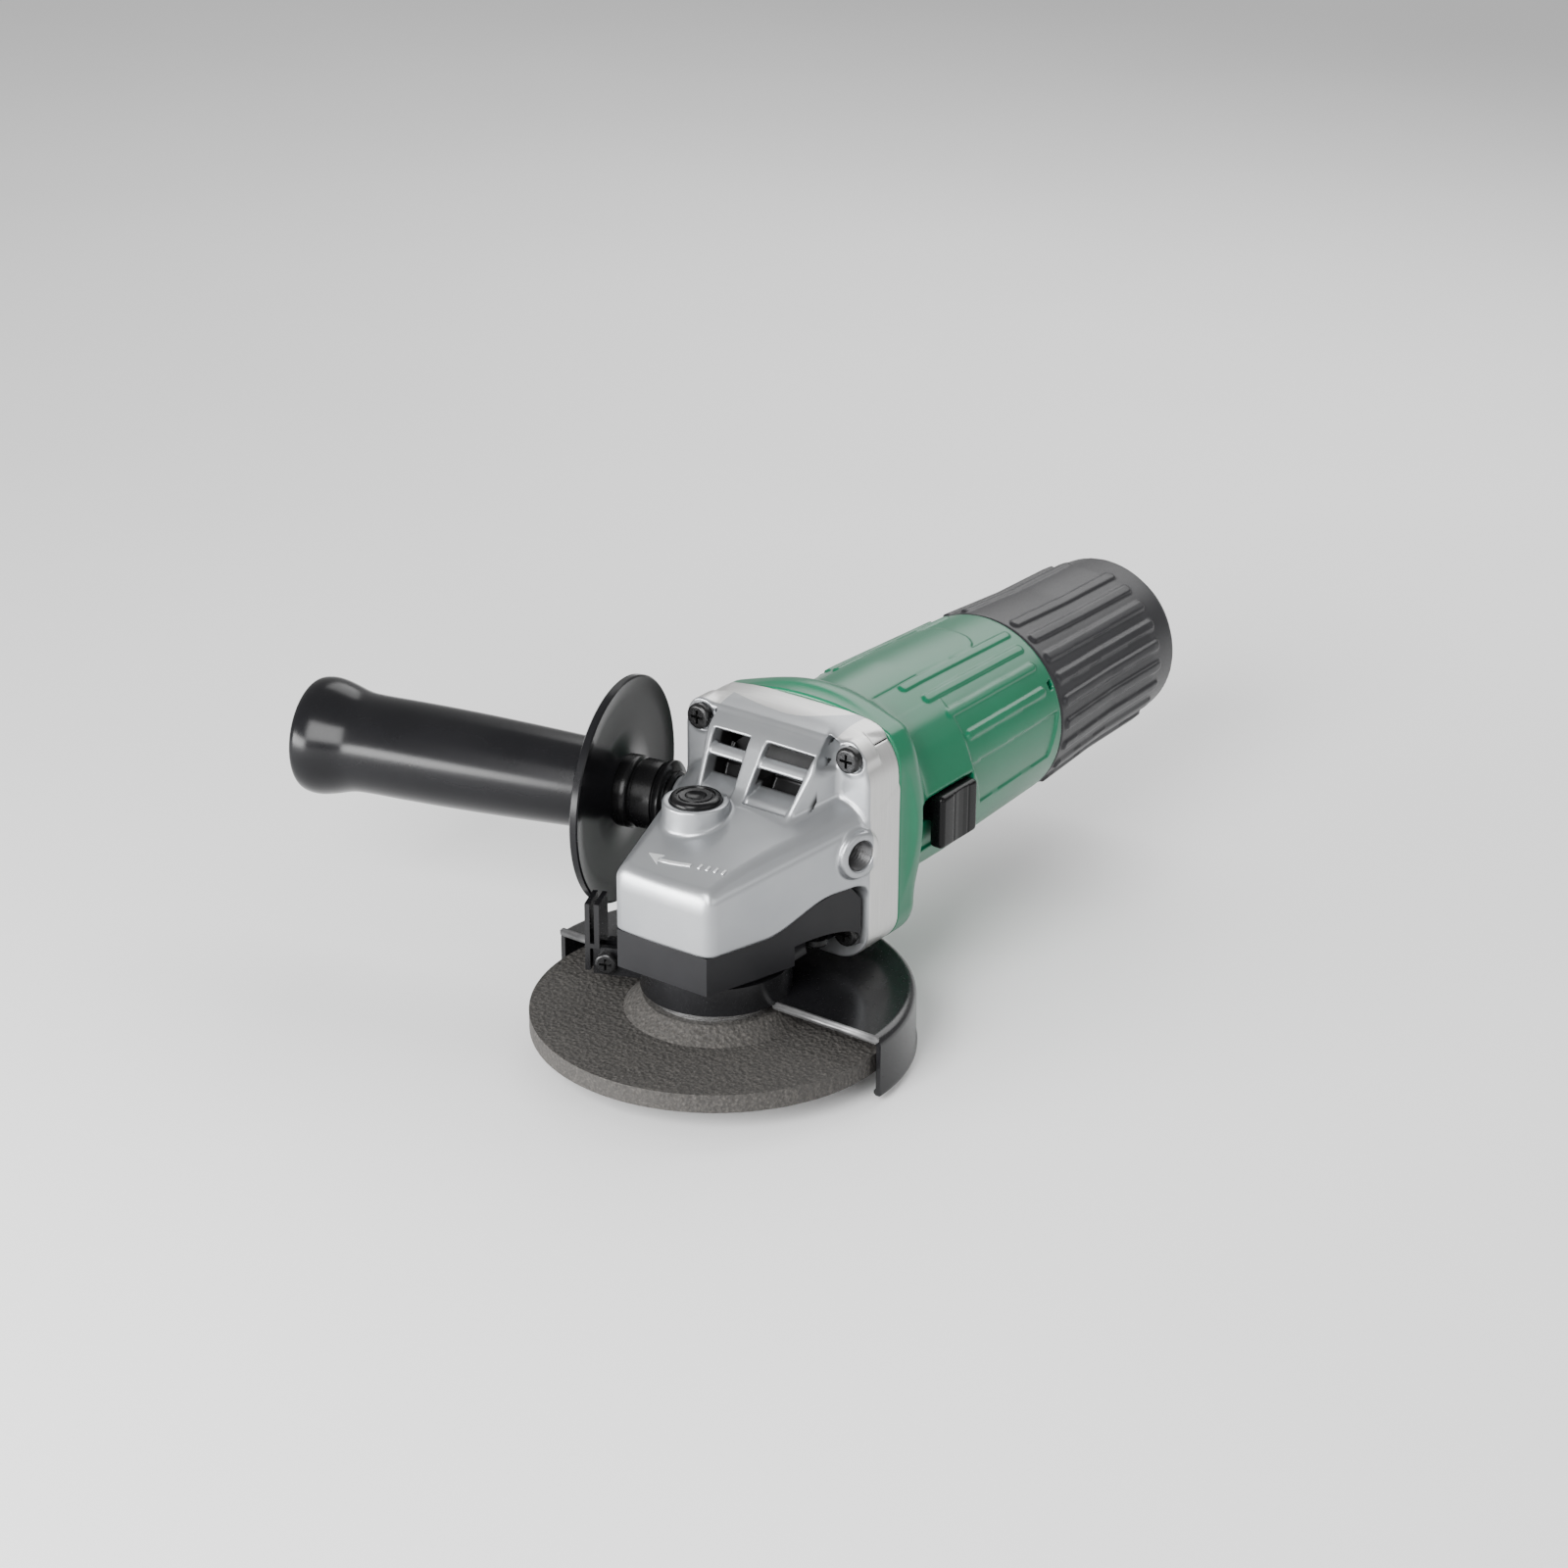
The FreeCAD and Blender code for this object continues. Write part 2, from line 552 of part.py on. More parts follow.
def spindle_group():
    tip = dim("thread_low_z")
    thread = dim("thread_r")
    turned("spindle", [
        (Size(0), tip - 0.8), (thread - 0.8, tip - 0.8), (thread, tip), (thread, dim("undercut_low_z")),
        (dim("undercut_r"), dim("undercut_low_z")), (dim("undercut_r"), dim("undercut_high_z")),
        (thread, dim("undercut_high_z")), (thread, dim("shoulder_low_z")),
        (dim("shoulder_r"), dim("shoulder_low_z")), (dim("shoulder_r"), dim("shoulder_high_z")),
        (dim("seat_r"), dim("shoulder_high_z")), (dim("seat_r"), dim("cavity_high_z") - 1),
        (dim("top_journal_r"), dim("cavity_high_z") - 1), (dim("top_journal_r"), dim("spindle_top_z")),
        (Size(0), dim("spindle_top_z"))])
    ring("top_bush", dim("top_journal_r") + dim("fit_gap"), Size(6.5), dim("cavity_high_z"),
         dim("spindle_top_z"))
    ring("gear_snap_ring", dim("seat_r"), Size(6.6), Size(53.4), Size(54.4))
    seat = dim("wheel_seat_z")
    turned("inner_flange", [
        (thread, seat - 2.2), (dim("wheel_bore_r") - 0.1, seat - 2.2), (dim("wheel_bore_r") - 0.1, seat),
        (Size(20), seat), (Size(20), seat + 2.0), (Size(12), dim("shoulder_low_z") - 0.6),
        (Size(11), dim("shoulder_low_z")), (thread, dim("shoulder_low_z"))])
    under = seat - dim("wheel_thick")
    rim = dim("wheel_r")
    drop = dim("wheel_drop")
    bore = dim("wheel_bore_r")
    turned("grinding_wheel", [
        (bore, under), (Size(20), under), (Size(26), under - drop), (rim, under - drop),
        (rim, seat - drop), (Size(28.5), seat - drop), (Size(22.5), seat), (bore, seat)])
    low = dim("flange_nut_low_z")
    nut = turned("clamp_nut_blank", [
        (thread + 1.0, low), (Size(11), low), (Size(11), under - 3.2), (Size(17.5), under - 3.2),
        (Size(17.5), under), (bore - 0.1, under), (bore - 0.1, under + 2.2), (thread, under + 2.2),
        (thread, low + 1.0)], keep=False)
    pins = [cylinder("nut_pin_hole%d" % side, Size(2.2), low - 1, under - 1, Size(14.2 * side), Size(0))
            for side in (-1, 1)]
    node(cut("clamp_nut_body", nut, pins), "clamp_nut")


def bearing(prefix, inner, outer, low, high, lengthwise=False):
    """A ball bearing as inner race, balls and outer race, with room between balls and outer."""
    race = 0.27 * (outer.value - inner.value)
    inner_top = inner + race
    outer_low = outer - race
    ring(prefix + "_inner_race", inner, inner_top, low, high, lengthwise)
    ring(prefix + "_outer_race", outer_low, outer, low, high, lengthwise)
    radius = (number(outer_low) - number(inner_top) - 0.3) / 2
    pitch = number(inner_top) + radius
    middle = (number(low) + number(high)) / 2
    balls = []
    for index in range(8):
        angle = math.radians(45 * index)
        side, lift = pitch * math.cos(angle), pitch * math.sin(angle)
        centre = FreeCAD.Vector(middle, side, lift + DRIVING["motor_z"]) if lengthwise \
            else FreeCAD.Vector(side, lift, middle)
        balls.append(Part.makeSphere(radius, centre))
    shape_node(prefix + "_balls", Part.makeCompound(balls))


def tooth(centre_half, tip_half, root_half, cone, axis_turn):
    """One straight bevel tooth: trapezoid sections at both ends of the face, joined to the apex line.

    cone is the pitch angle; the section is drawn square to the pitch line and shrinks to the apex.
    """
    outer_reach = DRIVING["gear_pitch_r"] / math.sin(math.atan2(DRIVING["gear_teeth"],
                                                                DRIVING["pinion_teeth"]))
    wires = []
    for reach in (outer_reach, outer_reach - DRIVING["face_width"]):
        scale = reach / outer_reach
        corners = []
        for height, half in ((DRIVING["tooth_above"], tip_half), (0.0, centre_half),
                             (-DRIVING["tooth_below"] - 0.3, root_half)):
            along = reach * math.cos(cone) - scale * height * math.sin(cone)
            away = reach * math.sin(cone) + scale * height * math.cos(cone)
            corners.append((along, away, scale * half))
        loop = [FreeCAD.Vector(away, half, along) for along, away, half in corners]
        loop += [FreeCAD.Vector(away, -half, along) for along, away, half in reversed(corners)]
        wires.append(Part.makePolygon(loop + [loop[0]]))
    solid = Part.makeLoft(wires, True, True)
    solid.rotate(FreeCAD.Vector(0, 0, 0), FreeCAD.Vector(0, 0, 1), axis_turn)
    return solid


def bevel_wheel(blank, count, cone, first_turn):
    """A blank about +Z with its apex at the origin, with teeth all round."""
    half = DRIVING["tooth_half"]
    teeth = [tooth(half, half * 0.45, half * 1.75, cone, first_turn + 360.0 * index / count)
             for index in range(count)]
    return blank.multiFuse(teeth).removeSplitter()


def revolve_shape(points):
    """A solid of revolution about +Z from (radius, height) corners."""
    loop = [FreeCAD.Vector(radius, 0, height) for radius, height in points]
    face = Part.Face(Part.makePolygon(loop + [loop[0]]))
    return face.revolve(FreeCAD.Vector(0, 0, 0), FreeCAD.Vector(0, 0, 1), 360)


def bevel_gears():
    """Crown gear below the motor axis and pinion behind the spindle, in mesh at rest."""
    ratio = DRIVING["pinion_teeth"] / DRIVING["gear_teeth"]
    pitch_r = DRIVING["gear_pitch_r"]
    outer_reach = math.hypot(pitch_r, pitch_r * ratio)
    inner_scale = (outer_reach - DRIVING["face_width"]) / outer_reach
    gear_cone = math.atan2(1, ratio)
    pinion_cone = math.atan2(ratio, 1)
    below = DRIVING["tooth_below"]
    apex = DRIVING["motor_z"]
    seat_r = DRIVING["seat_r"]

    # the crown gear is built with its face towards its apex, then turned over
    root_r = pitch_r - below * math.cos(gear_cone)
    root_depth = pitch_r * ratio + below * math.sin(gear_cone)
    web_depth = apex - 53.4
    blank = revolve_shape([
        (seat_r, web_depth), (12.9, web_depth), (root_r * inner_scale, root_depth * inner_scale),
        (root_r, root_depth), (root_r, root_depth + 2.6), (10.5, apex - 48.0), (10.5, apex - 44.2),
        (seat_r, apex - 44.2)])
    gear = bevel_wheel(blank, DRIVING["gear_teeth"], gear_cone, 180.0 / DRIVING["gear_teeth"])
    gear.rotate(FreeCAD.Vector(0, 0, 0), FreeCAD.Vector(1, 0, 0), 180)
    gear.translate(FreeCAD.Vector(0, 0, apex))
    lock_r = math.hypot(DRIVING["button_x"], DRIVING["button_y"])
    lock_turn = math.degrees(math.atan2(DRIVING["button_y"], DRIVING["button_x"]))
    for quarter in range(4):
        angle = math.radians(lock_turn + 90 * quarter)
        centre = FreeCAD.Vector(lock_r * math.cos(angle), lock_r * math.sin(angle), 45)
        gear = gear.cut(Part.makeCylinder(DRIVING["lock_pin_r"] + 0.4, 15, centre))
    shape_node("crown_gear", gear)

    small_root_r = pitch_r * ratio - below * math.cos(pinion_cone)
    small_root_x = pitch_r + below * math.sin(pinion_cone)
    blank = revolve_shape([
        (3.0, small_root_x * inner_scale), (small_root_r * inner_scale, small_root_x * inner_scale),
        (small_root_r, small_root_x), (small_root_r, 23.0), (3.0, 23.0)])
    pinion = bevel_wheel(blank, DRIVING["pinion_teeth"], pinion_cone, 0.0)
    pinion.rotate(FreeCAD.Vector(0, 0, 0), FreeCAD.Vector(0, 1, 0), 90)
    pinion.translate(FreeCAD.Vector(0, 0, apex))
    shape_node("pinion", pinion)
    hexagon = Part.makePolygon([FreeCAD.Vector(0, 4.3 * math.cos(math.radians(60 * turn)),
                                               4.3 * math.sin(math.radians(60 * turn)))
                                for turn in range(7)])
    nut = Part.Face(hexagon).extrude(FreeCAD.Vector(3.4, 0, 0))
    nut = nut.cut(Part.makeCylinder(3.0, 6, FreeCAD.Vector(-1, 0, 0), FreeCAD.Vector(1, 0, 0)))
    nut.translate(FreeCAD.Vector(10.0, 0, apex))
    shape_node("pinion_nut", nut)


# ---------------------------------------------------------------- armature group

def armature_group():
    front = dim("front_bearing_x")
    rear = dim("rear_bearing_x")
    turned("armature_shaft", [
        (Size(9.4), Size(0)), (rear + 8.4, Size(0)), (rear + 8.4, Size(3.5)), (rear, Size(3.5)),
        (rear, Size(5)), (front + 7, Size(5)), (front + 7, Size(4.5)), (front - 1, Size(4.5)),
        (front - 1, Size(3)), (Size(9.4), Size(3))], lengthwise=True)
    core = ring("armature_core_disc", Size(5), dim("armature_r"), dim("core_front_x"),
                dim("core_rear_x"), True, keep=False)
    slots = []
    for index in range(12):
        angle = math.radians(30 * index)
        away = DRIVING["armature_r"] - 2.2
        slots.append(cylinder("winding_slot%d" % index, Size(1.5), dim("core_front_x") - 1,
                              dim("core_rear_x") + 1, y=Size(away * math.cos(angle)),
                              z=dim("motor_z") + away * math.sin(angle), direction="X"))
    node(cut("armature_core_body", core, slots), "armature_core")
    for name, low, high in (("armature_front_windings", dim("core_front_x") - 8, dim("core_front_x")),
                            ("armature_rear_windings", dim("core_rear_x"), dim("core_rear_x") + 9)):
        ring(name, Size(5), dim("armature_r") - 3, low, high, True)
    ring("commutator", Size(5), dim("commutator_r"), dim("commutator_x"), dim("commutator_x") + 14,
         True)
    fan_x = dim("fan_x")
    hub = turned("fan_hub", [
        (fan_x, Size(5)), (fan_x + 8, Size(5)), (fan_x + 8, Size(10)), (fan_x + 2, Size(12)),
        (fan_x + 2, dim("fan_r")), (fan_x, dim("fan_r"))], lengthwise=True, keep=False)
    blades = []
    for index in range(16):
        blade = doc.addObject("Part::Box", "fan_blade%d" % index)
        bind(blade, "Length", Size(6.5))
        bind(blade, "Width", dim("fan_r") - 14)
        bind(blade, "Height", Size(1.4))
        turn = FreeCAD.Rotation(FreeCAD.Vector(1, 0, 0), 22.5 * index)
        start = turn.multVec(FreeCAD.Vector(0, 13.0, 0))
        place(blade, fan_x + 1.5, Size(start.y), dim("motor_z") + start.z, turn)
        blades.append(blade)
    node(fused("fan_body", [hub] + blades), "cooling_fan")


def stator_group():
    front = dim("core_front_x") - 1
    rear = dim("core_rear_x") + 1
    axis_z = dim("motor_z")
    disc = ring("stator_disc", dim("armature_r") + dim("air_gap"), dim("stator_r"), front, rear, True,
                keep=False)
    flats = []
    for side in (-1, 1):
        near = dim("stator_flat") if side > 0 else -dim("stator_flat") - 10
        flats.append(block("stator_flat%d" % side, (front - 1, near, Size(0)),
                           (rear + 1, near + 10, Size(120))))
    windows = [block("coil_window%d_%d" % (side, level),
                     (front - 1, Size(side * 21.0 - 2.0), axis_z + level * 10.0 - 3.2),
                     (rear + 1, Size(side * 21.0 + 1.6), axis_z + level * 10.0 + 3.2))
               for side in (-1, 1) for level in (-1, 1)]
    node(cut("stator_core_body", disc, flats + windows), "stator_core")
    coils = []
    for side in (-1, 1):
        for level in (-1, 1):
            run = Part.makeBox(number(rear - front) + 14, 3.0, 5.6, FreeCAD.Vector(
                number(front) - 7, side * 21.0 - 1.7, number(axis_z) + level * 10.0 - 2.8))
            coils.append(run)
        for end in (number(front) - 7, number(rear) + 3.5):
            coils.append(Part.makeBox(3.5, 3.0, 20.0, FreeCAD.Vector(end, side * 21.0 - 1.7,
                                                                     number(axis_z) - 10.0)))
    left = coils[0].multiFuse([coils[1], coils[2], coils[3]])
    right = coils[4].multiFuse([coils[5], coils[6], coils[7]])
    shape_node("field_coils", Part.makeCompound([left, right]))


def brush_gear():
    """Brush holders in the housing's side pockets, with brushes and their springs."""
    middle = DRIVING["commutator_x"] + 7
    height = DRIVING["motor_z"]
    holders, brushes, springs = [], [], []
    for side in (-1, 1):
        tube = Part.makeBox(9, 11, 10, FreeCAD.Vector(middle - 4.5, 12.4, height - 5))
        tube = tube.cut(Part.makeBox(6.1, 20, 8.1, FreeCAD.Vector(middle - 3.05, 10, height - 4.05)))
        brush = Part.makeBox(6, 8, 8, FreeCAD.Vector(middle - 3, 11.05, height - 4))
        spring = Part.makeCylinder(2.2, 3.6, FreeCAD.Vector(middle, 19.05, height),
                                   FreeCAD.Vector(0, 1, 0))
        spring = spring.cut(Part.makeCylinder(1.4, 3.6, FreeCAD.Vector(middle, 19.05, height),
                                              FreeCAD.Vector(0, 1, 0)))
        for solid, group in ((tube, holders), (brush, brushes), (spring, springs)):
            if side < 0:
                solid = solid.mirror(FreeCAD.Vector(0, 0, 0), FreeCAD.Vector(0, 1, 0))
            group.append(solid)
    shape_node("brush_holders", Part.makeCompound(holders))
    shape_node("carbon_brushes", Part.makeCompound(brushes))
    shape_node("brush_springs", Part.makeCompound(springs))


# ---------------------------------------------------------------- housing and tail

def housing_profile(label, low_x, high_x):
    """The rounded-square front of the housing that meets the gear case."""
    half = dim("case_half") + 0.5
    box = block(label + "_box", (low_x, -half, dim("flange_low_z") - 0.3),
                (high_x, half, dim("flange_high_z") + 0.3))
    return rounded(label, box, FreeCAD.Vector(1, 0, 0), "flange_corner_r", lambda point: True)


def motor_housing():
    front = dim("case_rear_x")
    blend = dim("blend_x")
    barrel = dim("barrel_x")
    seam = dim("seam_x")
    square = housing_profile("housing_square", front, barrel)
    funnel = turned("housing_funnel", [
        (front, Size(0)), (front, Size(50)), (blend, Size(50)), (blend + 1.2, Size(41)),
        (blend + 3.5, Size(37.6)), (blend + 7, Size(34.6)), (barrel, dim("barrel_front_r")),
        (barrel, Size(0))], lengthwise=True, keep=False)
    tube = turned("housing_tube", [
        (blend - 4, Size(0)), (blend - 4, dim("barrel_front_r")), (barrel + 20, dim("barrel_front_r")),
        (seam, dim("barrel_rear_r")), (seam, Size(0))], lengthwise=True, keep=False)
    outer = fused("housing_outer", [shared("housing_blend", square, funnel), tube])
    axis_z = dim("motor_z")
    rear = dim("rear_bearing_x")
    recess_low = (blend + 0.5, dim("knob_face_y") - 12, dim("knob_low_z") - 0.6)
    recess_high = (dim("knob_rear_x") + 1.0, dim("slot_floor_y"), dim("knob_high_z") + 0.6)
    hollows = [
        cylinder("housing_fan_bay", dim("fan_bay_r") + 1, front - 1, blend, z=axis_z, direction="X"),
        cylinder("stator_bore", dim("housing_bore_r"), blend - 1, rear - 2, z=axis_z, direction="X"),
        cylinder("rear_bearing_seat", Size(11), rear, rear + 7.2, z=axis_z, direction="X"),
        cylinder("rear_shaft_hole", Size(6), rear - 4, rear + 1, z=axis_z, direction="X"),
        cylinder("rear_cup", Size(24), rear + 7, seam + 1, z=axis_z, direction="X"),
        block("knob_recess", recess_low, recess_high),
        block("knob_slot", (Size(59.2), Size(-34), Size(55.8)), (Size(81.2), Size(-26), Size(62.2))),
        block("link_passage", (rear - 4, Size(-28.6), Size(54.5)), (seam + 1, Size(-24.6), Size(63.5))),
    ]
    for index, (across, up) in enumerate(screw_places()):
        hollows.append(cylinder("housing_thread%d" % index, Size(2.0), front - 1, front + 9.2,
                                y=across, z=up, direction="X"))
    node(cut("motor_housing_body", outer, hollows), "motor_housing")
    ring("air_guide", Size(15), dim("fan_bay_r") + 0.9, Size(48), Size(50.4), True)


def tail_cover():
    """The rear cover: a hollow cap with a locating spigot and a cord inlet low in its end."""
    seam = dim("seam_x")
    end = dim("tail_end_x")
    wall = dim("tail_wall")
    r_seam = dim("barrel_rear_r") + 0.3
    outer = turned("tail_outer", [
        (seam, Size(0)), (seam, r_seam), (seam + 34, r_seam - 2.0), (end - 22, r_seam - 2.4),
        (end - 8, r_seam - 3.4), (end - 2, r_seam - 7.5), (end, r_seam - 12), (end, Size(0))],
        lengthwise=True, keep=False)
    inner = turned("tail_inner", [
        (seam - 1, Size(0)), (seam - 1, r_seam - wall), (seam + 34, r_seam - 2.0 - wall),
        (end - 22, r_seam - 2.6 - wall), (end - 8, r_seam - 4.4 - wall), (end - wall, r_seam - 12),
        (end - wall, Size(0))], lengthwise=True, keep=False)
    inlet_boss = cylinder("inlet_boss", dim("inlet_r") + 2.2, end - 12, end - 0.5, z=dim("inlet_z"),
                          direction="X")
    inlet = cylinder("inlet_hole", dim("inlet_r"), end - 14, end + 1, z=dim("inlet_z"), direction="X")
    spigot = ring("tail_spigot", dim("spigot_r") - wall, dim("spigot_r"), seam - 3.6, seam + 3, True,
                  keep=False)
    web = ring("tail_web", dim("spigot_r") - wall, r_seam - 1, seam, seam + 3, True, keep=False)
    passage = block("tail_link_passage", (seam - 5, Size(-28.6), Size(54.5)),
                    (seam + 4, Size(-21), Size(63.5)))
    hollow = cut("tail_hollow", outer, [inner])
    node(cut("tail_cover_body", fused("tail_with_bosses", [hollow, inlet_boss, spigot, web]),
             [inlet, passage]), "tail_cover")


def switch_group():
    """Slide switch: thumb knob, stem and link bar in one moving piece each, and the fixed switch."""
    floor = dim("slot_floor_y") - 0.3
    knob_box = block("knob_box", (dim("knob_front_x"), dim("knob_face_y"), dim("knob_low_z")),
                     (dim("knob_rear_x"), floor, dim("knob_high_z")))
    stem = block("knob_stem", (Size(68), floor - 0.1, Size(56.2)), (Size(80), Size(-27.6), Size(61.8)))
    node(fused("slide_knob_body", [knob_box, stem]), "slide_knob")
    link = block("switch_link", (Size(68), Size(-27.6), Size(57.5)), (Size(162), Size(-25.2), Size(60.5)))
    node(link)
    node(block("switch_module", (Size(170), Size(-24.0), Size(52)), (Size(192), Size(-8), Size(70))))
    node(cylinder("capacitor", Size(8), Size(172), Size(200), y=Size(8), z=Size(66), direction="X"))
    clamp = Part.makeBox(9, 22, 5, FreeCAD.Vector(204, -11, DRIVING["inlet_z"] - 10.2))
    pair = []
    for side in (-1, 1):
        hole = Part.makeCylinder(1.4, 10, FreeCAD.Vector(208.5, 7.6 * side, DRIVING["inlet_z"] - 12))
        clamp = clamp.cut(hole)
        one = screw_shape(2.8, 2.0, 1.4, 4.9)
        one.rotate(FreeCAD.Vector(0, 0, 0), FreeCAD.Vector(0, 1, 0), 90)
        one.translate(FreeCAD.Vector(208.5, 7.6 * side, DRIVING["inlet_z"] - 5.2))
        pair.append(one)
    shape_node("cord_clamp", clamp)
    return pair


# ---------------------------------------------------------------- lock button and side handle

def lock_group():
    x = dim("button_x")
    y = dim("button_y")
    top = dim("button_top_z")
    cap = cylinder("button_disc", dim("button_r"), top - dim("button_depth"), top, x, y)
    dish = doc.addObject("Part::Sphere", "button_dish")
    bind(dish, "Radius", Size(4))
    place(dish, x, y, top + 3.2)
    node(cut("lock_button_body", cap, [dish]), "lock_button")
    node(cylinder("lock_pin", dim("lock_pin_r"), dim("lock_pin_tip_z"), top - dim("button_depth"), x, y))
    spring_low = DRIVING["button_well_z"]
    spring_high = DRIVING["button_top_z"] - DRIVING["button_depth"]
    coils = 4
    wire = 0.4
    helix = Part.makeHelix((spring_high - spring_low - 2 * wire - 0.1) / coils,
                           spring_high - spring_low - 2 * wire - 0.1, 4.2)
    section = Part.Wire([Part.Circle(FreeCAD.Vector(4.2, 0, 0), FreeCAD.Vector(0, 1, 0.2),
                                     wire).toShape()])
    spring = Part.Wire(helix.Edges).makePipeShell([section], True, True)
    spring.translate(FreeCAD.Vector(DRIVING["button_x"], DRIVING["button_y"], spring_low + wire + 0.05))
    shape_node("lock_spring", spring)


def side_handle():
    """Screwed into the right socket: stud, stepped collar, guard disc and long grip."""
    stages = [
        ("handle_stud", [(Size(0), Size(-9.0)), (dim("socket_hole_r"), Size(-9.0)),
                         (dim("socket_hole_r"), Size(14)), (Size(0), Size(14))]),
        ("handle_collar", [
            (dim("socket_hole_r"), Size(0)), (Size(8.6), Size(0)), (Size(8.6), Size(1.6)),
            (dim("collar_r") + 0.8, Size(1.6)), (dim("collar_r") + 0.8, Size(4.0)),
            (dim("collar_r"), Size(4.0)), (dim("collar_r"), dim("disc_near")),
            (dim("socket_hole_r"), dim("disc_near"))]),
        ("handle_disc", [
            (Size(0), dim("disc_near")), (Size(13), dim("disc_near")), (Size(30), dim("disc_near") + 1.4),
            (dim("disc_r"), dim("disc_near") - 0.6), (dim("disc_r"), dim("disc_near") + 2.2),
            (Size(30), dim("disc_near") + dim("disc_thick") + 1.0),
            (dim("grip_near_r") + 0.5, dim("disc_near") + dim("disc_thick")),
            (Size(0), dim("disc_near") + dim("disc_thick"))]),
    ]
    near = dim("disc_near") + dim("disc_thick")
    far = near + dim("grip_length")
    grip_r = dim("grip_near_r")
    end_r = dim("grip_far_r")
    stages.append(("handle_grip", [
        (Size(0), near), (grip_r, near), (grip_r, near + 6), (end_r, near + 60), (end_r, far - 16),
        (end_r + 3.0, far - 10), (end_r + 3.0, far - 4), (end_r - 1.0, far), (Size(0), far)]))
    for label, points in stages:
        piece = turned(label, points)
        along_socket(piece, 1, Size(0))


def check_and_export():
    """Stop on any failed object or shape, then write one STEP file per sub-part."""
    doc.recompute()
    for thing in doc.Objects:
        if "Invalid" in thing.State or "Error" in thing.State:
            raise RuntimeError("failed object: %s %s" % (thing.Label, thing.State))
    for thing in NODES:
        shape = thing.Shape
        if shape.isNull() or not shape.isValid() or shape.Volume <= 0:
            raise RuntimeError("bad shape: %s" % thing.Label)
    os.makedirs("parts", exist_ok=True)
    for thing in NODES:
        thing.Shape.exportStep("parts/%s.step" % thing.Label)
        box = thing.Shape.optimalBoundingBox(False)
        print("%-28s %2d solids %9.1f mm3  x %7.2f %7.2f  y %7.2f %7.2f  z %7.2f %7.2f" % (
            thing.Label, len(thing.Shape.Solids), thing.Shape.Volume,
            box.XMin, box.XMax, box.YMin, box.YMax, box.ZMin, box.ZMax))


def main():
    fill_sheet()
    gear_case()
    bearing_holder()
    screws()
    guard()
    spindle_group()
    bearing("spindle_bearing", dim("seat_r"), dim("bearing_r"), dim("shoulder_high_z"),
            dim("bearing_high_z"))
    bevel_gears()
    armature_group()
    bearing("front_bearing", Size(4.5), Size(12), dim("front_bearing_x"), dim("front_bearing_x") + 7,
            True)
    bearing("rear_bearing", Size(3.5), Size(11), dim("rear_bearing_x"), dim("rear_bearing_x") + 7, True)
    stator_group()
    brush_gear()
    motor_housing()
    tail_cover()
    clamp_screws = switch_group()
    shape_node("clamp_screws", Part.makeCompound(clamp_screws))
    lock_group()
    side_handle()
    check_and_export()
    print(len(NODES), "sub-parts")


main()
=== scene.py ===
import math

import bmesh
import bpy
import numpy as np
from mathutils import Matrix, Vector


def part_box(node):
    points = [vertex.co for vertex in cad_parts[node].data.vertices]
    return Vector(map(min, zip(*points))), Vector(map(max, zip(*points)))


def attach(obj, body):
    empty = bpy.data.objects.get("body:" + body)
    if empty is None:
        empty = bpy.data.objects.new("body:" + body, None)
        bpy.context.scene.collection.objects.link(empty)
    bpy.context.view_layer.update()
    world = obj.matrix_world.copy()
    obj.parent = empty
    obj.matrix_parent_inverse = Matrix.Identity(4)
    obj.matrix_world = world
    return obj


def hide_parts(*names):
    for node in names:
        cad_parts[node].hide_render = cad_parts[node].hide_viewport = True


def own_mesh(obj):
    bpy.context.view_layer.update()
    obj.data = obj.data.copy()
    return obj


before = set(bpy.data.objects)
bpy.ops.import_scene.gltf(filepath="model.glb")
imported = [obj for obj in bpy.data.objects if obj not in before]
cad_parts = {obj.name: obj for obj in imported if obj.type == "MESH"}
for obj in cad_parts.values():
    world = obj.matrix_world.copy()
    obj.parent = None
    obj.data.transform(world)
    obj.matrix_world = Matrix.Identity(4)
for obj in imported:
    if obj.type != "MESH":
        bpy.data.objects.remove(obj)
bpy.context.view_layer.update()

MM = 0.001


# ------------------------------------------------------------ places read from the frame, in mm

def low(node):
    return np.array(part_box(node)[0]) / MM


def high(node):
    return np.array(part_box(node)[1]) / MM


def middle(node):
    return (low(node) + high(node)) / 2


MOTOR_Z = middle("armature_core")[2]
CASE_LOW = low("gear_case")
CASE_HIGH = high("gear_case")
FRONT_X = CASE_LOW[0]
CASE_REAR_X = CASE_HIGH[0]
CASE_TOP_Z = CASE_HIGH[2]
CASE_BOTTOM_Z = CASE_LOW[2]
CASE_HALF = 34.8
CASE_CORNER_R = 12.0
SWITCH_CORNER_EXTRA = 5.0
FLANGE_FRONT_X = 30.4
SCREW_Y = 28.1
SCREW_LIFT = 29.0
NOSE_HALF = 17.71
SIDE_FLARE = 0.2794
DECK_FRONT_Z = 62.9
DECK_SLOPE = 0.2932
DECK_CROWN = 4.6
HOOD_FOOT = (12.4, 0, 73.0)
HOOD_LEAN = (0.843, 0.538)
HOOD_TOP = (24.5, 0, 91.6)
SEAM_X = high("motor_housing")[0]
TAIL_X = high("tail_cover")[0]
HEAD_FLOOR_Z = 42.0
BAR_MIDDLE = 1.9
BUTTON = middle("lock_button")
BARREL_FRONT_R = 33.6
BARREL_REAR_R = 31.6
INLET_Z = 52.0
INLET_R = 4.5
SOCKET_LEAN = math.radians(13.45)
SOCKET_FACE = np.array([27.1, 33.06, 60.55])
SOCKET_BOSS_RISE = 2.0


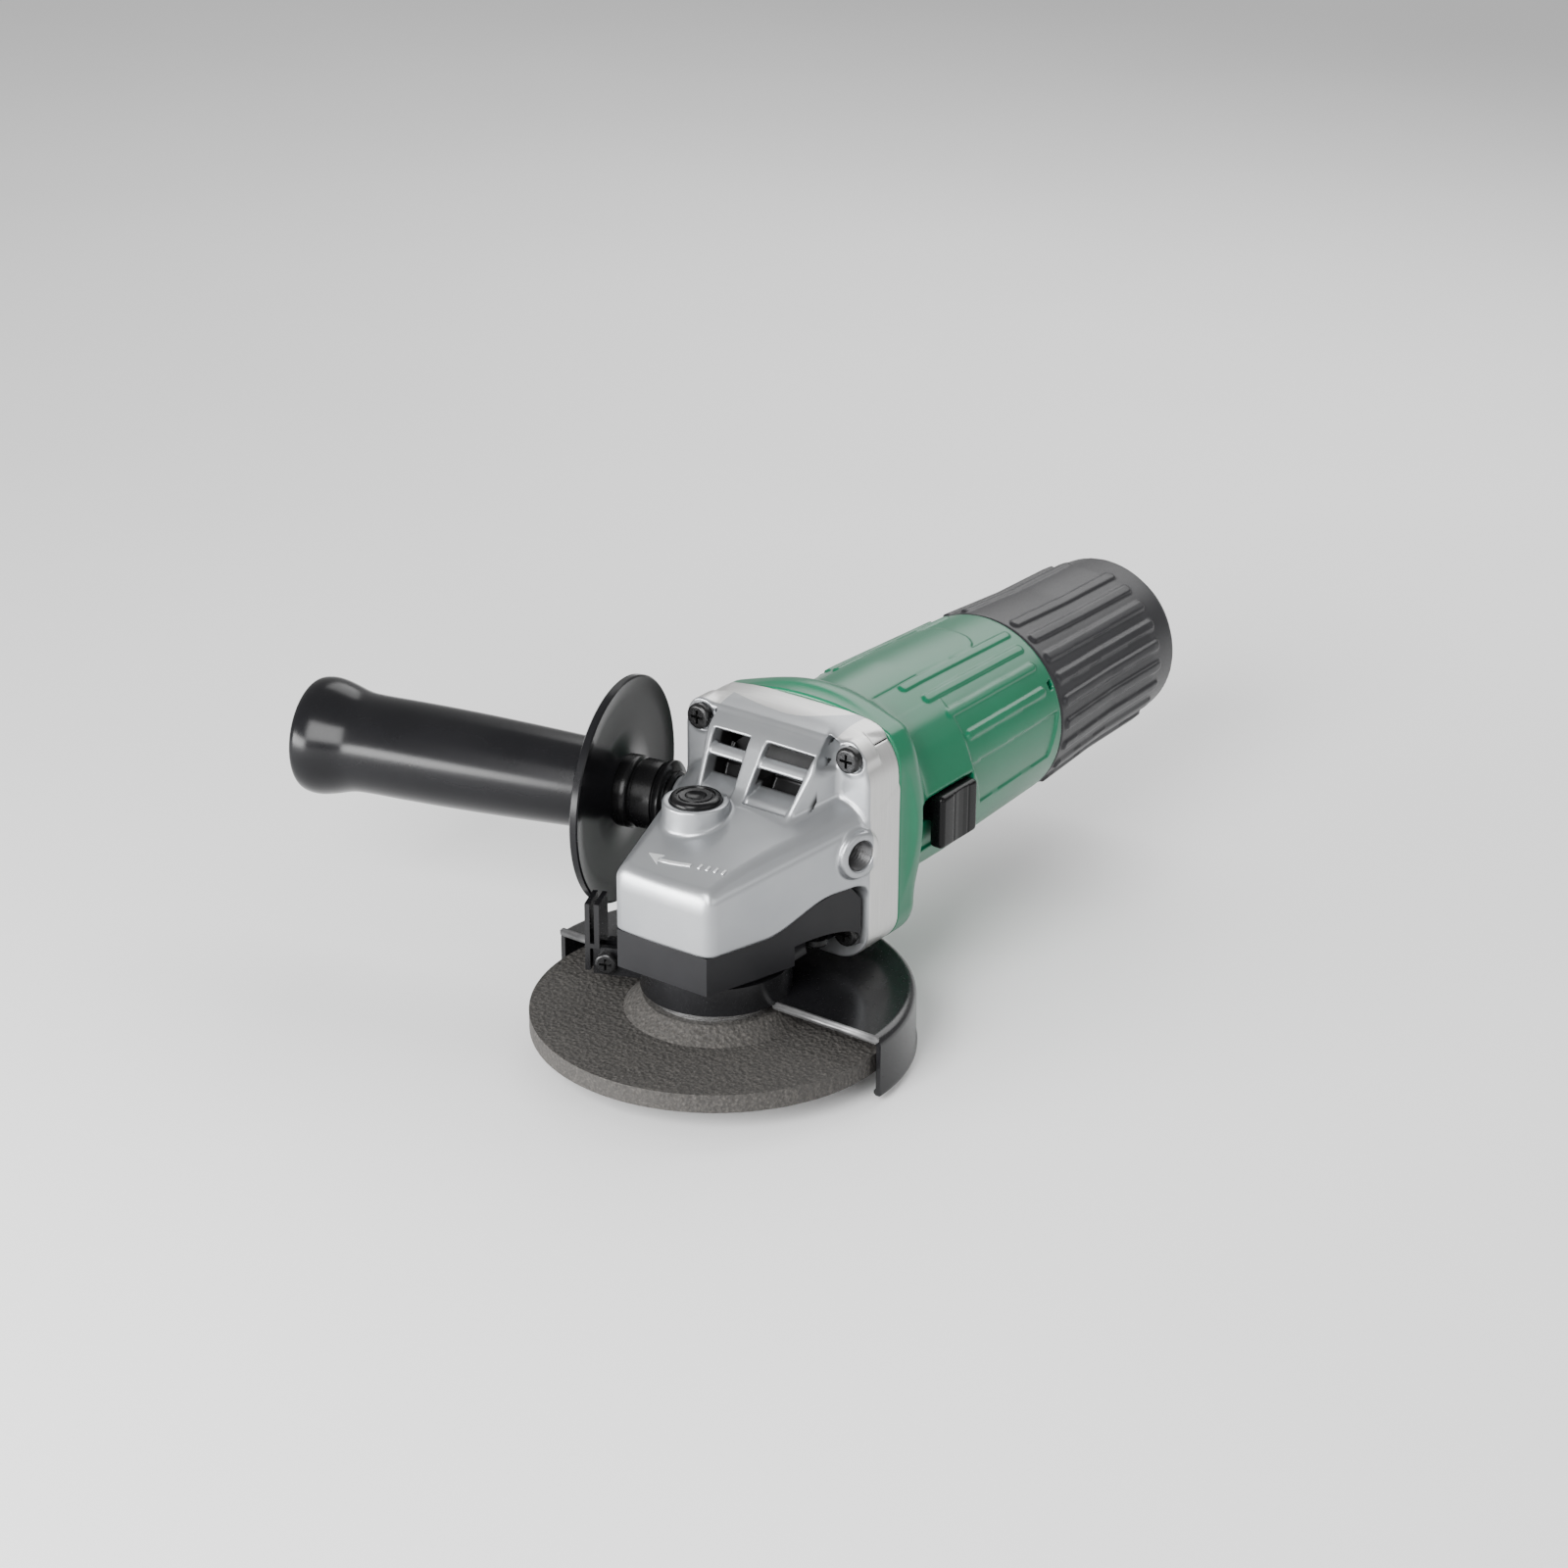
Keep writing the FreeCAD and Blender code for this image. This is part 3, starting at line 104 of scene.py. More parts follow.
# ------------------------------------------------------------ distance fields
# A field takes arrays x, y, z in mm and gives a distance that is negative inside the solid.

def both(first, second, round_by=0.0):
    """Where two solids overlap, the edge between them rounded."""
    if round_by <= 0:
        return np.maximum(first, second)
    near = np.maximum(round_by - np.abs(first - second), 0) / round_by
    return np.maximum(first, second) + near * near * round_by / 4


def either(first, second, fillet=0.0):
    """Two solids as one, with a fillet in the corner between them."""
    return -both(-first, -second, fillet)


def without(first, second, round_by=0.0):
    """The first solid with the second taken away."""
    return both(first, -second, round_by)


def half_space(x, y, z, point, normal):
    """Solid on the far side of a plane from its normal."""
    n = np.array(normal, float)
    n = n / np.linalg.norm(n)
    return (x - point[0]) * n[0] + (y - point[1]) * n[1] + (z - point[2]) * n[2]


def slab(value, low_value, high_value):
    return np.maximum(low_value - value, value - high_value)


def block(x, y, z, low_corner, high_corner, radius=0.0):
    """A box with rounded edges."""
    centre = (np.array(low_corner, float) + np.array(high_corner, float)) / 2
    half = (np.array(high_corner, float) - np.array(low_corner, float)) / 2 - radius
    dx = np.abs(x - centre[0]) - half[0]
    dy = np.abs(y - centre[1]) - half[1]
    dz = np.abs(z - centre[2]) - half[2]
    outside = np.sqrt(np.maximum(dx, 0) ** 2 + np.maximum(dy, 0) ** 2 + np.maximum(dz, 0) ** 2)
    return outside + np.minimum(np.maximum(dx, np.maximum(dy, dz)), 0) - radius


def along_and_away(x, y, z, start, end):
    """Distance along the line between two points, distance off it, and its length."""
    start = np.array(start, float)
    run = np.array(end, float) - start
    length = np.linalg.norm(run)
    way = run / length
    along = (x - start[0]) * way[0] + (y - start[1]) * way[1] + (z - start[2]) * way[2]
    square = (x - start[0]) ** 2 + (y - start[1]) ** 2 + (z - start[2]) ** 2 - along ** 2
    return along, np.sqrt(np.maximum(square, 0)), length


def rod(x, y, z, start, end, radius, round_by=0.0):
    """A round bar between two points with flat, rounded ends."""
    along, away, length = along_and_away(x, y, z, start, end)
    return both(away - radius, slab(along, 0, length), round_by)


def cone(x, y, z, start, end, start_radius, end_radius):
    """A cone frustum between two points."""
    along, away, length = along_and_away(x, y, z, start, end)
    slope = (end_radius - start_radius) / length
    side = (away - start_radius - slope * along) / math.sqrt(1 + slope * slope)
    return np.maximum(side, slab(along, 0, length))


def rounded_square(y, z, centre_z, half_y, half_z, radius, switch_corner=0.0):
    """A rounded rectangle across the motor axis; its upper switch-side corner can be rounder."""
    radius = radius + np.where((y < 0) & (z > centre_z), switch_corner, 0.0)
    dy = np.abs(y) - (half_y - radius)
    dz = np.abs(z - centre_z) - (half_z - radius)
    outside = np.sqrt(np.maximum(dy, 0) ** 2 + np.maximum(dz, 0) ** 2)
    return outside + np.minimum(np.maximum(dy, dz), 0) - radius


def smoothstep(value, start, end):
    part = np.clip((value - start) / (end - start), 0, 1)
    return part * part * (3 - 2 * part)


CORNERS = [(i, j, k) for i in (0, 1) for j in (0, 1) for k in (0, 1)]
EDGES = [(a, b) for a in range(8) for b in range(a + 1, 8)
         if sum(abs(CORNERS[a][n] - CORNERS[b][n]) for n in range(3)) == 1]


def facing_quads(inside, number):
    """Quads between neighbouring cells wherever the surface crosses a grid edge."""
    quads = []
    for axis in range(3):
        ahead = [slice(1, -1)] * 3
        ahead[axis] = slice(0, -1)
        after = [slice(1, -1)] * 3
        after[axis] = slice(1, None)
        here = inside[tuple(ahead)]
        there = inside[tuple(after)]
        change = np.argwhere(here != there)
        if len(change) == 0:
            continue
        leaving = here[tuple(change.T)]
        base = change + 1
        base[:, axis] -= 1
        u, v = [n for n in range(3) if n != axis]
        around = []
        for du, dv in ((1, 1), (0, 1), (0, 0), (1, 0)):
            cell = base.copy()
            cell[:, u] -= du
            cell[:, v] -= dv
            around.append(number[tuple(cell.T)])
        quad = np.stack(around, axis=1)
        flip = leaving if axis != 1 else ~leaving
        quad[~flip] = quad[~flip][:, ::-1]
        quads.append(quad)
    return np.concatenate(quads)


def net(field, low_corner, high_corner, step):
    """Corner points and quads of the field's surface on a grid (surface nets)."""
    axes = [np.arange(low_corner[n] - 2 * step, high_corner[n] + 3 * step, step, dtype=np.float32)
            for n in range(3)]
    x, y, z = np.meshgrid(*axes, indexing="ij")
    value = field(x, y, z).astype(np.float32)
    inside = value < 0
    shape = [n - 1 for n in value.shape]

    def corner(array, index):
        i, j, k = CORNERS[index]
        return array[i:i + shape[0], j:j + shape[1], k:k + shape[2]]

    count_inside = sum(corner(inside, c).astype(np.int8) for c in range(8))
    split = (count_inside > 0) & (count_inside < 8)
    where = np.argwhere(split)
    number = -np.ones(shape, dtype=np.int64)
    number[split] = np.arange(len(where))
    total = np.zeros((len(where), 3))
    hits = np.zeros(len(where))
    for a, b in EDGES:
        first = corner(value, a)[split].astype(float)
        second = corner(value, b)[split].astype(float)
        crosses = (first < 0) != (second < 0)
        share = np.where(crosses, first / np.where(crosses, first - second, 1), 0)
        start = np.array(CORNERS[a], float)
        run = np.array(CORNERS[b], float) - start
        total += np.where(crosses[:, None], start + share[:, None] * run, 0)
        hits += crosses
    points = (where + total / hits[:, None]) * step + np.array([axis[0] for axis in axes])
    return points, facing_quads(inside, number)


def settle(field, points, quads, step, rounds=3):
    """Even the points out along the surface and pull them exactly onto it."""
    edges = np.concatenate([quads[:, [0, 1]], quads[:, [1, 2]], quads[:, [2, 3]], quads[:, [3, 0]]])
    hop = step * 0.1
    for turn in range(rounds):
        if turn:
            total = np.zeros_like(points)
            ties = np.zeros(len(points))
            for a, b in ((0, 1), (1, 0)):
                np.add.at(total, edges[:, a], points[edges[:, b]])
                np.add.at(ties, edges[:, a], 1)
            points = 0.5 * points + 0.5 * total / ties[:, None]
        for _ in range(2):
            x, y, z = points.T
            value = field(x, y, z)
            slope = np.stack([field(x + hop, y, z) - field(x - hop, y, z),
                              field(x, y + hop, z) - field(x, y - hop, z),
                              field(x, y, z + hop) - field(x, y, z - hop)], axis=1) / (2 * hop)
            steep = np.maximum((slope ** 2).sum(axis=1), 0.05)
            move = slope * (value / steep)[:, None]
            size = np.maximum(np.linalg.norm(move, axis=1), 1e-9)
            points = points - move * np.minimum(1, 0.6 * step / size)[:, None]
    return points


def link_piece(name, mesh):
    piece = bpy.data.objects.new(name, mesh)
    bpy.context.scene.collection.objects.link(piece)
    return piece


def make_mesh(name, points, faces, smooth=True):
    """A mesh object from points in mm."""
    mesh = bpy.data.meshes.new(name)
    mesh.from_pydata((np.asarray(points) * MM).tolist(), [], [list(map(int, f)) for f in faces])
    mesh.update()
    if smooth:
        mesh.shade_smooth()
    return link_piece(name, mesh)


def grown(name, field, low_corner, high_corner, step):
    """A piece whose skin is the zero surface of a field."""
    points, quads = net(field, low_corner, high_corner, step)
    points = settle(field, points, quads, step)
    return make_mesh(name, points, quads)


# ------------------------------------------------------------ turned and boxed pieces

def turn_to(way):
    """A rotation that takes +Z to the given direction."""
    if abs(way[2]) > 0.9999:
        return np.eye(3)
    return np.array(Vector(way).to_track_quat("Z", "Y").to_matrix())


def lathe(name, profile, origin, way, count=72, start=0.0, end=360.0):
    """A turned piece from (radius, height) points in mm; closed into a solid."""
    whole = abs(end - start - 360) < 1e-6
    steps = count if whole else count + 1
    angles = np.radians(start + (end - start) * np.arange(steps) / count)
    frame_turn = turn_to(way)
    points = []
    rings = []
    for radius, height in profile:
        if radius < 1e-6:
            points.append((0, 0, height))
            rings.append([len(points) - 1] * steps)
            continue
        first = len(points)
        points += [(radius * math.cos(a), radius * math.sin(a), height) for a in angles]
        rings.append(list(range(first, first + steps)))
    faces = []
    closed = profile[0][0] > 1e-6 and profile[-1][0] > 1e-6
    pairs = list(zip(rings[:-1], rings[1:]))
    if closed:
        pairs.append((rings[-1], rings[0]))
    for lower, upper in pairs:
        for i in range(count):
            j = (i + 1) % steps
            corner = [lower[i], lower[j], upper[j], upper[i]]
            face = [c for n, c in enumerate(corner) if c not in corner[:n]]
            if len(face) > 2:
                faces.append(face)
    if not whole:
        faces.append([ring[0] for ring in rings])
        faces.append([ring[-1] for ring in rings][::-1])
    placed = np.array(points) @ frame_turn.T + np.array(origin)
    piece = make_mesh(name, placed, faces)
    recalculate(piece)
    sharpen(piece, 42)
    return piece


def rounded_profile(profile, rounds=2):
    """Cut the corners of a profile to make it flow, keeping its two ends."""
    points = [np.array(p, float) for p in profile]
    for _ in range(rounds):
        fresh = [points[0]]
        for first, second in zip(points[:-1], points[1:]):
            fresh.append(first * 0.75 + second * 0.25)
            fresh.append(first * 0.25 + second * 0.75)
        fresh.append(points[-1])
        points = fresh
    return [(float(p[0]), float(p[1])) for p in points]


def box_piece(name, start, end, radius):
    """A box with rounded edges."""
    mesh = bpy.data.meshes.new(name)
    tool = bmesh.new()
    bmesh.ops.create_cube(tool, size=1.0)
    size = np.array(end) - np.array(start)
    centre = (np.array(end) + np.array(start)) / 2
    for vert in tool.verts:
        vert.co = Vector([(centre[n] + vert.co[n] * size[n]) * MM for n in range(3)])
    bmesh.ops.bevel(tool, geom=list(tool.edges), offset=radius * MM, segments=3, affect="EDGES")
    tool.to_mesh(mesh)
    tool.free()
    mesh.shade_smooth()
    return link_piece(name, mesh)


def recalculate(piece):
    """Turn every face to look outwards."""
    tool = bmesh.new()
    tool.from_mesh(piece.data)
    bmesh.ops.recalc_face_normals(tool, faces=tool.faces)
    tool.to_mesh(piece.data)
    tool.free()


def sharpen(piece, limit):
    """Mark edges sharper than the limit so that shading breaks there."""
    tool = bmesh.new()
    tool.from_mesh(piece.data)
    for edge in tool.edges:
        edge.smooth = not (edge.is_manifold and edge.calc_face_angle(0) > math.radians(limit))
    tool.to_mesh(piece.data)
    tool.free()


def dress(piece, body, node, material):
    """Put a piece on its body, hide the frame part it stands in for and give it its material."""
    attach(piece, body)
    if node is not None:
        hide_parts(node)
    piece.data.materials.clear()
    piece.data.materials.append(material)


# ------------------------------------------------------------ materials

def node_tree(name):
    material = bpy.data.materials.new(name)
    material.use_nodes = True
    nodes = material.node_tree.nodes
    links = material.node_tree.links
    shader = nodes["Principled BSDF"]
    coords = nodes.new("ShaderNodeTexCoord")
    return material, nodes, links, shader, coords


def noise(nodes, links, coords, scale, detail=4.0, rough=0.55, stretch=None):
    texture = nodes.new("ShaderNodeTexNoise")
    texture.inputs["Scale"].default_value = scale
    texture.inputs["Detail"].default_value = detail
    texture.inputs["Roughness"].default_value = rough
    source = coords.outputs["Object"]
    if stretch is not None:
        mapping = nodes.new("ShaderNodeMapping")
        mapping.inputs["Scale"].default_value = stretch
        links.new(source, mapping.inputs["Vector"])
        source = mapping.outputs["Vector"]
    links.new(source, texture.inputs["Vector"])
    return texture.outputs["Fac"]


def ramp(nodes, links, source, stops):
    """A colour ramp: stops are (position, colour)."""
    item = nodes.new("ShaderNodeValToRGB")
    elements = item.color_ramp.elements
    while len(elements) < len(stops):
        elements.new(0.5)
    for element, (position, colour) in zip(elements, stops):
        element.position = position
        element.color = (*colour, 1.0)
    links.new(source, item.inputs["Fac"])
    return item.outputs["Color"]


def span(nodes, links, source, low_value, high_value):
    """The source stretched from 0.3..0.7 to a range."""
    item = nodes.new("ShaderNodeMapRange")
    item.inputs["From Min"].default_value = 0.3
    item.inputs["From Max"].default_value = 0.7
    item.inputs["To Min"].default_value = low_value
    item.inputs["To Max"].default_value = high_value
    links.new(source, item.inputs["Value"])
    return item.outputs["Result"]


def mixed(nodes, links, share, first, second):
    """Two colours mixed by a share from 0 to 1."""
    item = nodes.new("ShaderNodeMix")
    item.data_type = "RGBA"
    links.new(share, item.inputs["Factor"])
    links.new(first, item.inputs["A"])
    links.new(second, item.inputs["B"])
    return [out for out in item.outputs if out.type == "RGBA"][0]


def add_bump(nodes, links, shader, layers):
    """Chain bumps: layers are (height source, strength, distance in metres)."""
    normal = None
    for source, strength, distance in layers:
        bump = nodes.new("ShaderNodeBump")
        bump.inputs["Strength"].default_value = strength
        bump.inputs["Distance"].default_value = distance
        links.new(source, bump.inputs["Height"])
        if normal is not None:
            links.new(normal, bump.inputs["Normal"])
        normal = bump.outputs["Normal"]
    links.new(normal, shader.inputs["Normal"])


MATERIALS = {}


def plain(name, light, dark, metal, rough_low, rough_high, grain=900.0, depth=0.00004, coat=0.0,
          stretch=None, strength=0.35, shine=0.5):
    """A two-tone material with grain, varied roughness and a fine bump."""
    if name in MATERIALS:
        return MATERIALS[name]
    material, nodes, links, shader, coords = node_tree(name)
    cloud = noise(nodes, links, coords, 45.0, 5.0)
    fine = noise(nodes, links, coords, grain, 3.0, 0.6, stretch)
    links.new(ramp(nodes, links, cloud, [(0.32, dark), (0.68, light)]), shader.inputs["Base Color"])
    links.new(span(nodes, links, fine, rough_low, rough_high), shader.inputs["Roughness"])
    shader.inputs["Metallic"].default_value = metal
    shader.inputs["Coat Weight"].default_value = coat
    shader.inputs["Coat Roughness"].default_value = 0.12
    shader.inputs["Specular IOR Level"].default_value = shine
    add_bump(nodes, links, shader, [(fine, strength, depth)])
    MATERIALS[name] = material
    return material


def cast_aluminium():
    """Die-cast metal with a blasted skin, a brighter machined band and painted shade, near black, on the
    inside.
    """
    if "cast_aluminium" in MATERIALS:
        return MATERIALS["cast_aluminium"]
    material, nodes, links, shader, coords = node_tree("cast_aluminium")
    cloud = noise(nodes, links, coords, 26.0, 4.0)
    fine = noise(nodes, links, coords, 1500.0, 3.0, 0.6)
    brushed = noise(nodes, links, coords, 500.0, 4.0, 0.6, (6.0, 0.12, 0.12))
    band = nodes.new("ShaderNodeAttribute")
    band.attribute_name = "machined"
    share = nodes.new("ShaderNodeMapRange")
    share.inputs["From Min"].default_value = 0.35
    share.inputs["From Max"].default_value = 0.65
    links.new(band.outputs["Fac"], share.inputs["Value"])
    share = share.outputs["Result"]
    skin = ramp(nodes, links, cloud, [(0.3, (0.30, 0.31, 0.325)), (0.7, (0.36, 0.37, 0.38))])
    bare = ramp(nodes, links, brushed, [(0.3, (0.49, 0.487, 0.478)), (0.7, (0.59, 0.586, 0.575))])
    # painted shade: the 'inside' layer blends in a near-black colour on the hollows, slots and bores,
    # where shadow falls
    inner = nodes.new("ShaderNodeAttribute")
    inner.attribute_name = "inside"
    dark = ramp(nodes, links, cloud, [(0.3, (0.012, 0.012, 0.012)), (0.7, (0.02, 0.02, 0.021))])
    outer = mixed(nodes, links, share, skin, bare)
    links.new(mixed(nodes, links, inner.outputs["Fac"], outer, dark), shader.inputs["Base Color"])
    shader.inputs["Metallic"].default_value = 0.8
    links.new(span(nodes, links, fine, 0.30, 0.38), shader.inputs["Roughness"])
    add_bump(nodes, links, shader, [(fine, 0.22, 0.00003), (brushed, 0.08, 0.00002)])
    MATERIALS["cast_aluminium"] = material
    return material


def green_plastic():
    return plain("green_plastic", (0.0, 0.125, 0.058), (0.0, 0.11, 0.05), 0.0, 0.28, 0.32, 1600.0,
                 0.00001, 0.0, None, 0.03, 0.45)


def tail_plastic():
    return plain("tail_plastic", (0.015, 0.015, 0.0175), (0.011, 0.011, 0.013), 0.0, 0.36, 0.44, 1700.0,
                 0.00002, 0.0, None, 0.15, 0.35)


def black_plastic():
    return plain("black_plastic", (0.004, 0.004, 0.0043), (0.0028, 0.0028, 0.003), 0.0, 0.24, 0.28,
                 1600.0, 0.00001, 0.0, None, 0.05, 0.17)


def handle_plastic():
    return plain("handle_plastic", (0.007, 0.007, 0.008), (0.005, 0.005, 0.0058), 0.0, 0.2, 0.24,
                 1300.0, 0.00001, 0.0, None, 0.05, 0.2)


def guard_paint():
    return plain("guard_paint", (0.008, 0.008, 0.009), (0.005, 0.005, 0.0055), 0.0, 0.2, 0.28, 900.0,
                 0.00002, 0.0, None, 0.1, 0.35)


def holder_paint():
    return plain("holder_paint", (0.009, 0.009, 0.0105), (0.006, 0.006, 0.007), 0.0, 0.34, 0.42, 1400.0,
                 0.00003, 0.0, None, 0.15, 0.25)


# painted highlight: a light metallic colour standing for the glint along the guard's front edges
def painted_edge_highlight():
    return plain("painted_edge_highlight", (0.34, 0.34, 0.34), (0.05, 0.05, 0.052), 0.7, 0.3, 0.5, 700.0,
                 0.00004, 0.0, (0.3, 1.0, 1.0), 0.4)


def thread_metal():
    return plain("thread_metal", (0.16, 0.16, 0.165), (0.1, 0.1, 0.1), 0.9, 0.3, 0.4, 1500.0)


def mark_metal():
    return plain("mark_metal", (0.72, 0.73, 0.74), (0.64, 0.65, 0.66), 0.7, 0.28, 0.36, 1500.0)


def carried_materials():
    """Materials for the pieces whose shape is kept from the frame, by slot."""
    return {
        "black_screw": plain("black_screw", (0.02, 0.02, 0.021), (0.012, 0.012, 0.012), 0.6, 0.22, 0.34),
        "holder_paint": holder_paint(),
        "guard_paint": guard_paint(),
        "steel": plain("turned_steel", (0.62, 0.62, 0.62), (0.5, 0.5, 0.5), 1.0, 0.22, 0.34, 1500.0,
                       0.00002, 0.0, (0.2, 0.2, 3.0)),
        "abrasive": abrasive(),
        "gear_steel": plain("gear_steel", (0.4, 0.4, 0.42), (0.3, 0.3, 0.32), 1.0, 0.28, 0.4),
        "bearing_steel": plain("bearing_steel", (0.68, 0.68, 0.69), (0.6, 0.6, 0.61), 1.0, 0.14, 0.22),
        "bronze": plain("bronze", (0.5, 0.33, 0.14), (0.4, 0.25, 0.1), 1.0, 0.3, 0.42),
        "spring_steel": plain("spring_steel", (0.52, 0.52, 0.52), (0.42, 0.42, 0.42), 1.0, 0.24, 0.34),
        "core_steel": plain("core_steel", (0.2, 0.2, 0.21), (0.13, 0.13, 0.14), 0.9, 0.34, 0.5, 900.0,
                            0.0001, 0.0, (8.0, 0.2, 0.2), 0.6),
        "copper": plain("copper", (0.55, 0.23, 0.1), (0.42, 0.16, 0.06), 0.9, 0.26, 0.38, 500.0,
                        0.0001, 0.2, (1.0, 6.0, 1.0), 0.6),
        "fan_plastic": plain("fan_plastic", (0.04, 0.04, 0.042), (0.03, 0.03, 0.03), 0.0, 0.4, 0.55),
        "brass": plain("brass", (0.6, 0.43, 0.17), (0.5, 0.35, 0.13), 1.0, 0.24, 0.34),
        "carbon": plain("carbon", (0.02, 0.02, 0.02), (0.012, 0.012, 0.012), 0.1, 0.5, 0.65),
        "black_plastic": black_plastic(),
        "handle_plastic": handle_plastic(),
        "tail_plastic": tail_plastic(),
        "green_plastic": green_plastic(),
        "cast_aluminium": cast_aluminium(),
    }


def abrasive():
    """Resin-bonded grit with a woven glass mesh showing through."""
    material, nodes, links, shader, coords = node_tree("abrasive")
    grit = noise(nodes, links, coords, 1300.0, 5.0, 0.7)
    cloud = noise(nodes, links, coords, 60.0, 4.0)
    cells = nodes.new("ShaderNodeTexVoronoi")
    cells.inputs["Scale"].default_value = 700.0
    links.new(coords.outputs["Object"], cells.inputs["Vector"])
    colour = ramp(nodes, links, grit, [(0.36, (0.012, 0.011, 0.010)), (0.52, (0.035, 0.032, 0.029)),
                                       (0.68, (0.11, 0.10, 0.09))])
    shade = ramp(nodes, links, cloud, [(0.3, (0.03, 0.028, 0.026)), (0.7, (0.045, 0.042, 0.038))])
    half = nodes.new("ShaderNodeValue")
    half.outputs[0].default_value = 0.45
    links.new(mixed(nodes, links, half.outputs[0], colour, shade), shader.inputs["Base Color"])
    links.new(span(nodes, links, grit, 0.7, 0.9), shader.inputs["Roughness"])
    weave = None
    for direction in ("X", "Y"):
        wave = nodes.new("ShaderNodeTexWave")
        wave.bands_direction = direction
        wave.inputs["Scale"].default_value = 90.0
        wave.inputs["Distortion"].default_value = 0.6
        links.new(coords.outputs["Object"], wave.inputs["Vector"])
        if weave is None:
            weave = wave.outputs["Fac"]
        else:
            most = nodes.new("ShaderNodeMath")
            most.operation = "MAXIMUM"
            links.new(weave, most.inputs[0])
            links.new(wave.outputs["Fac"], most.inputs[1])
            weave = most.outputs[0]
    add_bump(nodes, links, shader, [(weave, 0.35, 0.0003), (cells.outputs["Distance"], 0.8, 0.0004),
                                    (grit, 0.6, 0.0002)])
    return material


KEPT_BY_SLOT = {
    "black_screw": ["gear_case_screws", "holder_screws", "clamp_screws", "band_screw", "band_nut"],
    "holder_paint": ["bearing_holder"],
    "bronze": ["top_bush"],
    "bearing_steel": ["spindle_bearing_outer_race", "front_bearing_outer_race",
        "rear_bearing_outer_race", "spindle_bearing_inner_race", "spindle_bearing_balls",
        "front_bearing_inner_race", "front_bearing_balls", "rear_bearing_inner_race",
        "rear_bearing_balls"],
    "core_steel": ["stator_core", "armature_core"],
    "copper": ["field_coils", "armature_front_windings", "armature_rear_windings", "commutator"],
    "brass": ["brush_holders"],
    "carbon": ["carbon_brushes"],
    "spring_steel": ["brush_springs"],
    "fan_plastic": ["air_guide", "cooling_fan"],
    "black_plastic": ["switch_module", "capacitor", "switch_link"],
    "steel": ["cord_clamp", "handle_stud", "spindle", "gear_snap_ring", "inner_flange", "clamp_nut",
        "pinion_nut", "armature_shaft", "lock_pin"],
    "abrasive": ["grinding_wheel"],
    "gear_steel": ["crown_gear", "pinion"],
    "guard_paint": ["guard_band", "clamp_lever"],
}
KEPT = {node: name for name, nodes in KEPT_BY_SLOT.items() for node in nodes}
BEVELS = {"gear_case_screws": 0.25, "holder_screws": 0.25, "bearing_holder": 0.7, "guard_band": 0.35,
          "clamp_lever": 0.5, "band_screw": 0.2, "band_nut": 0.3, "grinding_wheel": 0.6,
          "clamp_nut": 0.4, "inner_flange": 0.3, "spindle": 0.3, "handle_stud": 0.3}


def carried_nodes():
    """Give every piece kept from the frame its material, and those listed in BEVELS a small edge break.
    """
    materials = carried_materials()
    for node, slot_name in KEPT.items():
        piece = bpy.data.objects[node]
        piece.data.materials.clear()
        piece.data.materials.append(materials[slot_name])
        if node in BEVELS:
            bevel = piece.modifiers.new("edge_break", "BEVEL")
            bevel.width = BEVELS[node] * MM
            bevel.segments = 3
            bevel.limit_method = "ANGLE"
            bevel.angle_limit = math.radians(38)
            bevel.harden_normals = True


# ------------------------------------------------------------ gear case

def deck_crown(x, y):
    """How far the deck falls away from its middle line."""
    return DECK_CROWN * smoothstep(x, FRONT_X, 22) * (np.abs(y) / 27) ** 2


def head_outline(x, y, z):
    """The cast head in front of the flange: nose, flared sides, crowned deck, edge bevels."""
    across = np.abs(y)
    past_side = across - NOSE_HALF - (x - FRONT_X) * SIDE_FLARE
    sides = past_side / math.sqrt(1 + SIDE_FLARE ** 2)
    front = FRONT_X - x + 0.0025 * y * y
    deck = (z + deck_crown(x, y) - DECK_FRONT_Z - DECK_SLOPE * (x - FRONT_X - 1.5)) * 0.955
    bevel_line = 59.4 + 0.165 * (x - FRONT_X)
    side_bevel = (z - bevel_line) * 0.6 + past_side * 0.8
    nose_bevel = half_space(x, y, z, (FRONT_X, 0, 59.3), (-0.9, 0, 0.43)) + 0.0025 * y * y
    body = both(both(sides, front, 3.2), both(deck, side_bevel, 1.6), 1.0)
    body = both(body, nose_bevel, 1.6)
    wide = across - CASE_HALF
    return both(body, np.maximum(wide, x - CASE_REAR_X), 1.0)


def flange_outline(y, z):
    """The flange seen along the motor axis: rounded corners and a gently crowned top."""
    height = (CASE_TOP_Z + CASE_BOTTOM_Z) / 2
    half_z = (CASE_TOP_Z - CASE_BOTTOM_Z) / 2
    square = rounded_square(y, z, height, CASE_HALF, half_z, CASE_CORNER_R,
                            SWITCH_CORNER_EXTRA)
    return both(square, (z - CASE_TOP_Z + 0.0028 * y * y) * 0.99, 1.0)


def vent_hood(x, y, z):
    """The raised hood with the air slots, leaning back into the brim."""
    across = np.abs(y)
    face = half_space(x, y, z, HOOD_FOOT, (-HOOD_LEAN[0], 0, HOOD_LEAN[1])) + 0.0012 * y * y
    top = half_space(x, y, z, HOOD_TOP, (-0.33, 0, 0.944)) + 0.0011 * y * y
    half = 17.6 + (x - HOOD_FOOT[0]) * 0.33
    sides = (across - half) * 0.95
    skin = both(both(face, top, 3.0), sides, 1.2)
    return both(skin, np.maximum(x - CASE_REAR_X, 66 - z))


def flange(x, y, z):
    """The machined flange with the sloping brim and the four screw corners."""
    brim = half_space(x, y, z, (CASE_REAR_X, 0, CASE_TOP_Z - 0.1), (-0.16, 0, 0.987))
    plate = both(flange_outline(y, z), brim, 1.0)
    return both(both(plate, FLANGE_FRONT_X - x, 1.6), x - CASE_REAR_X, 0.3)


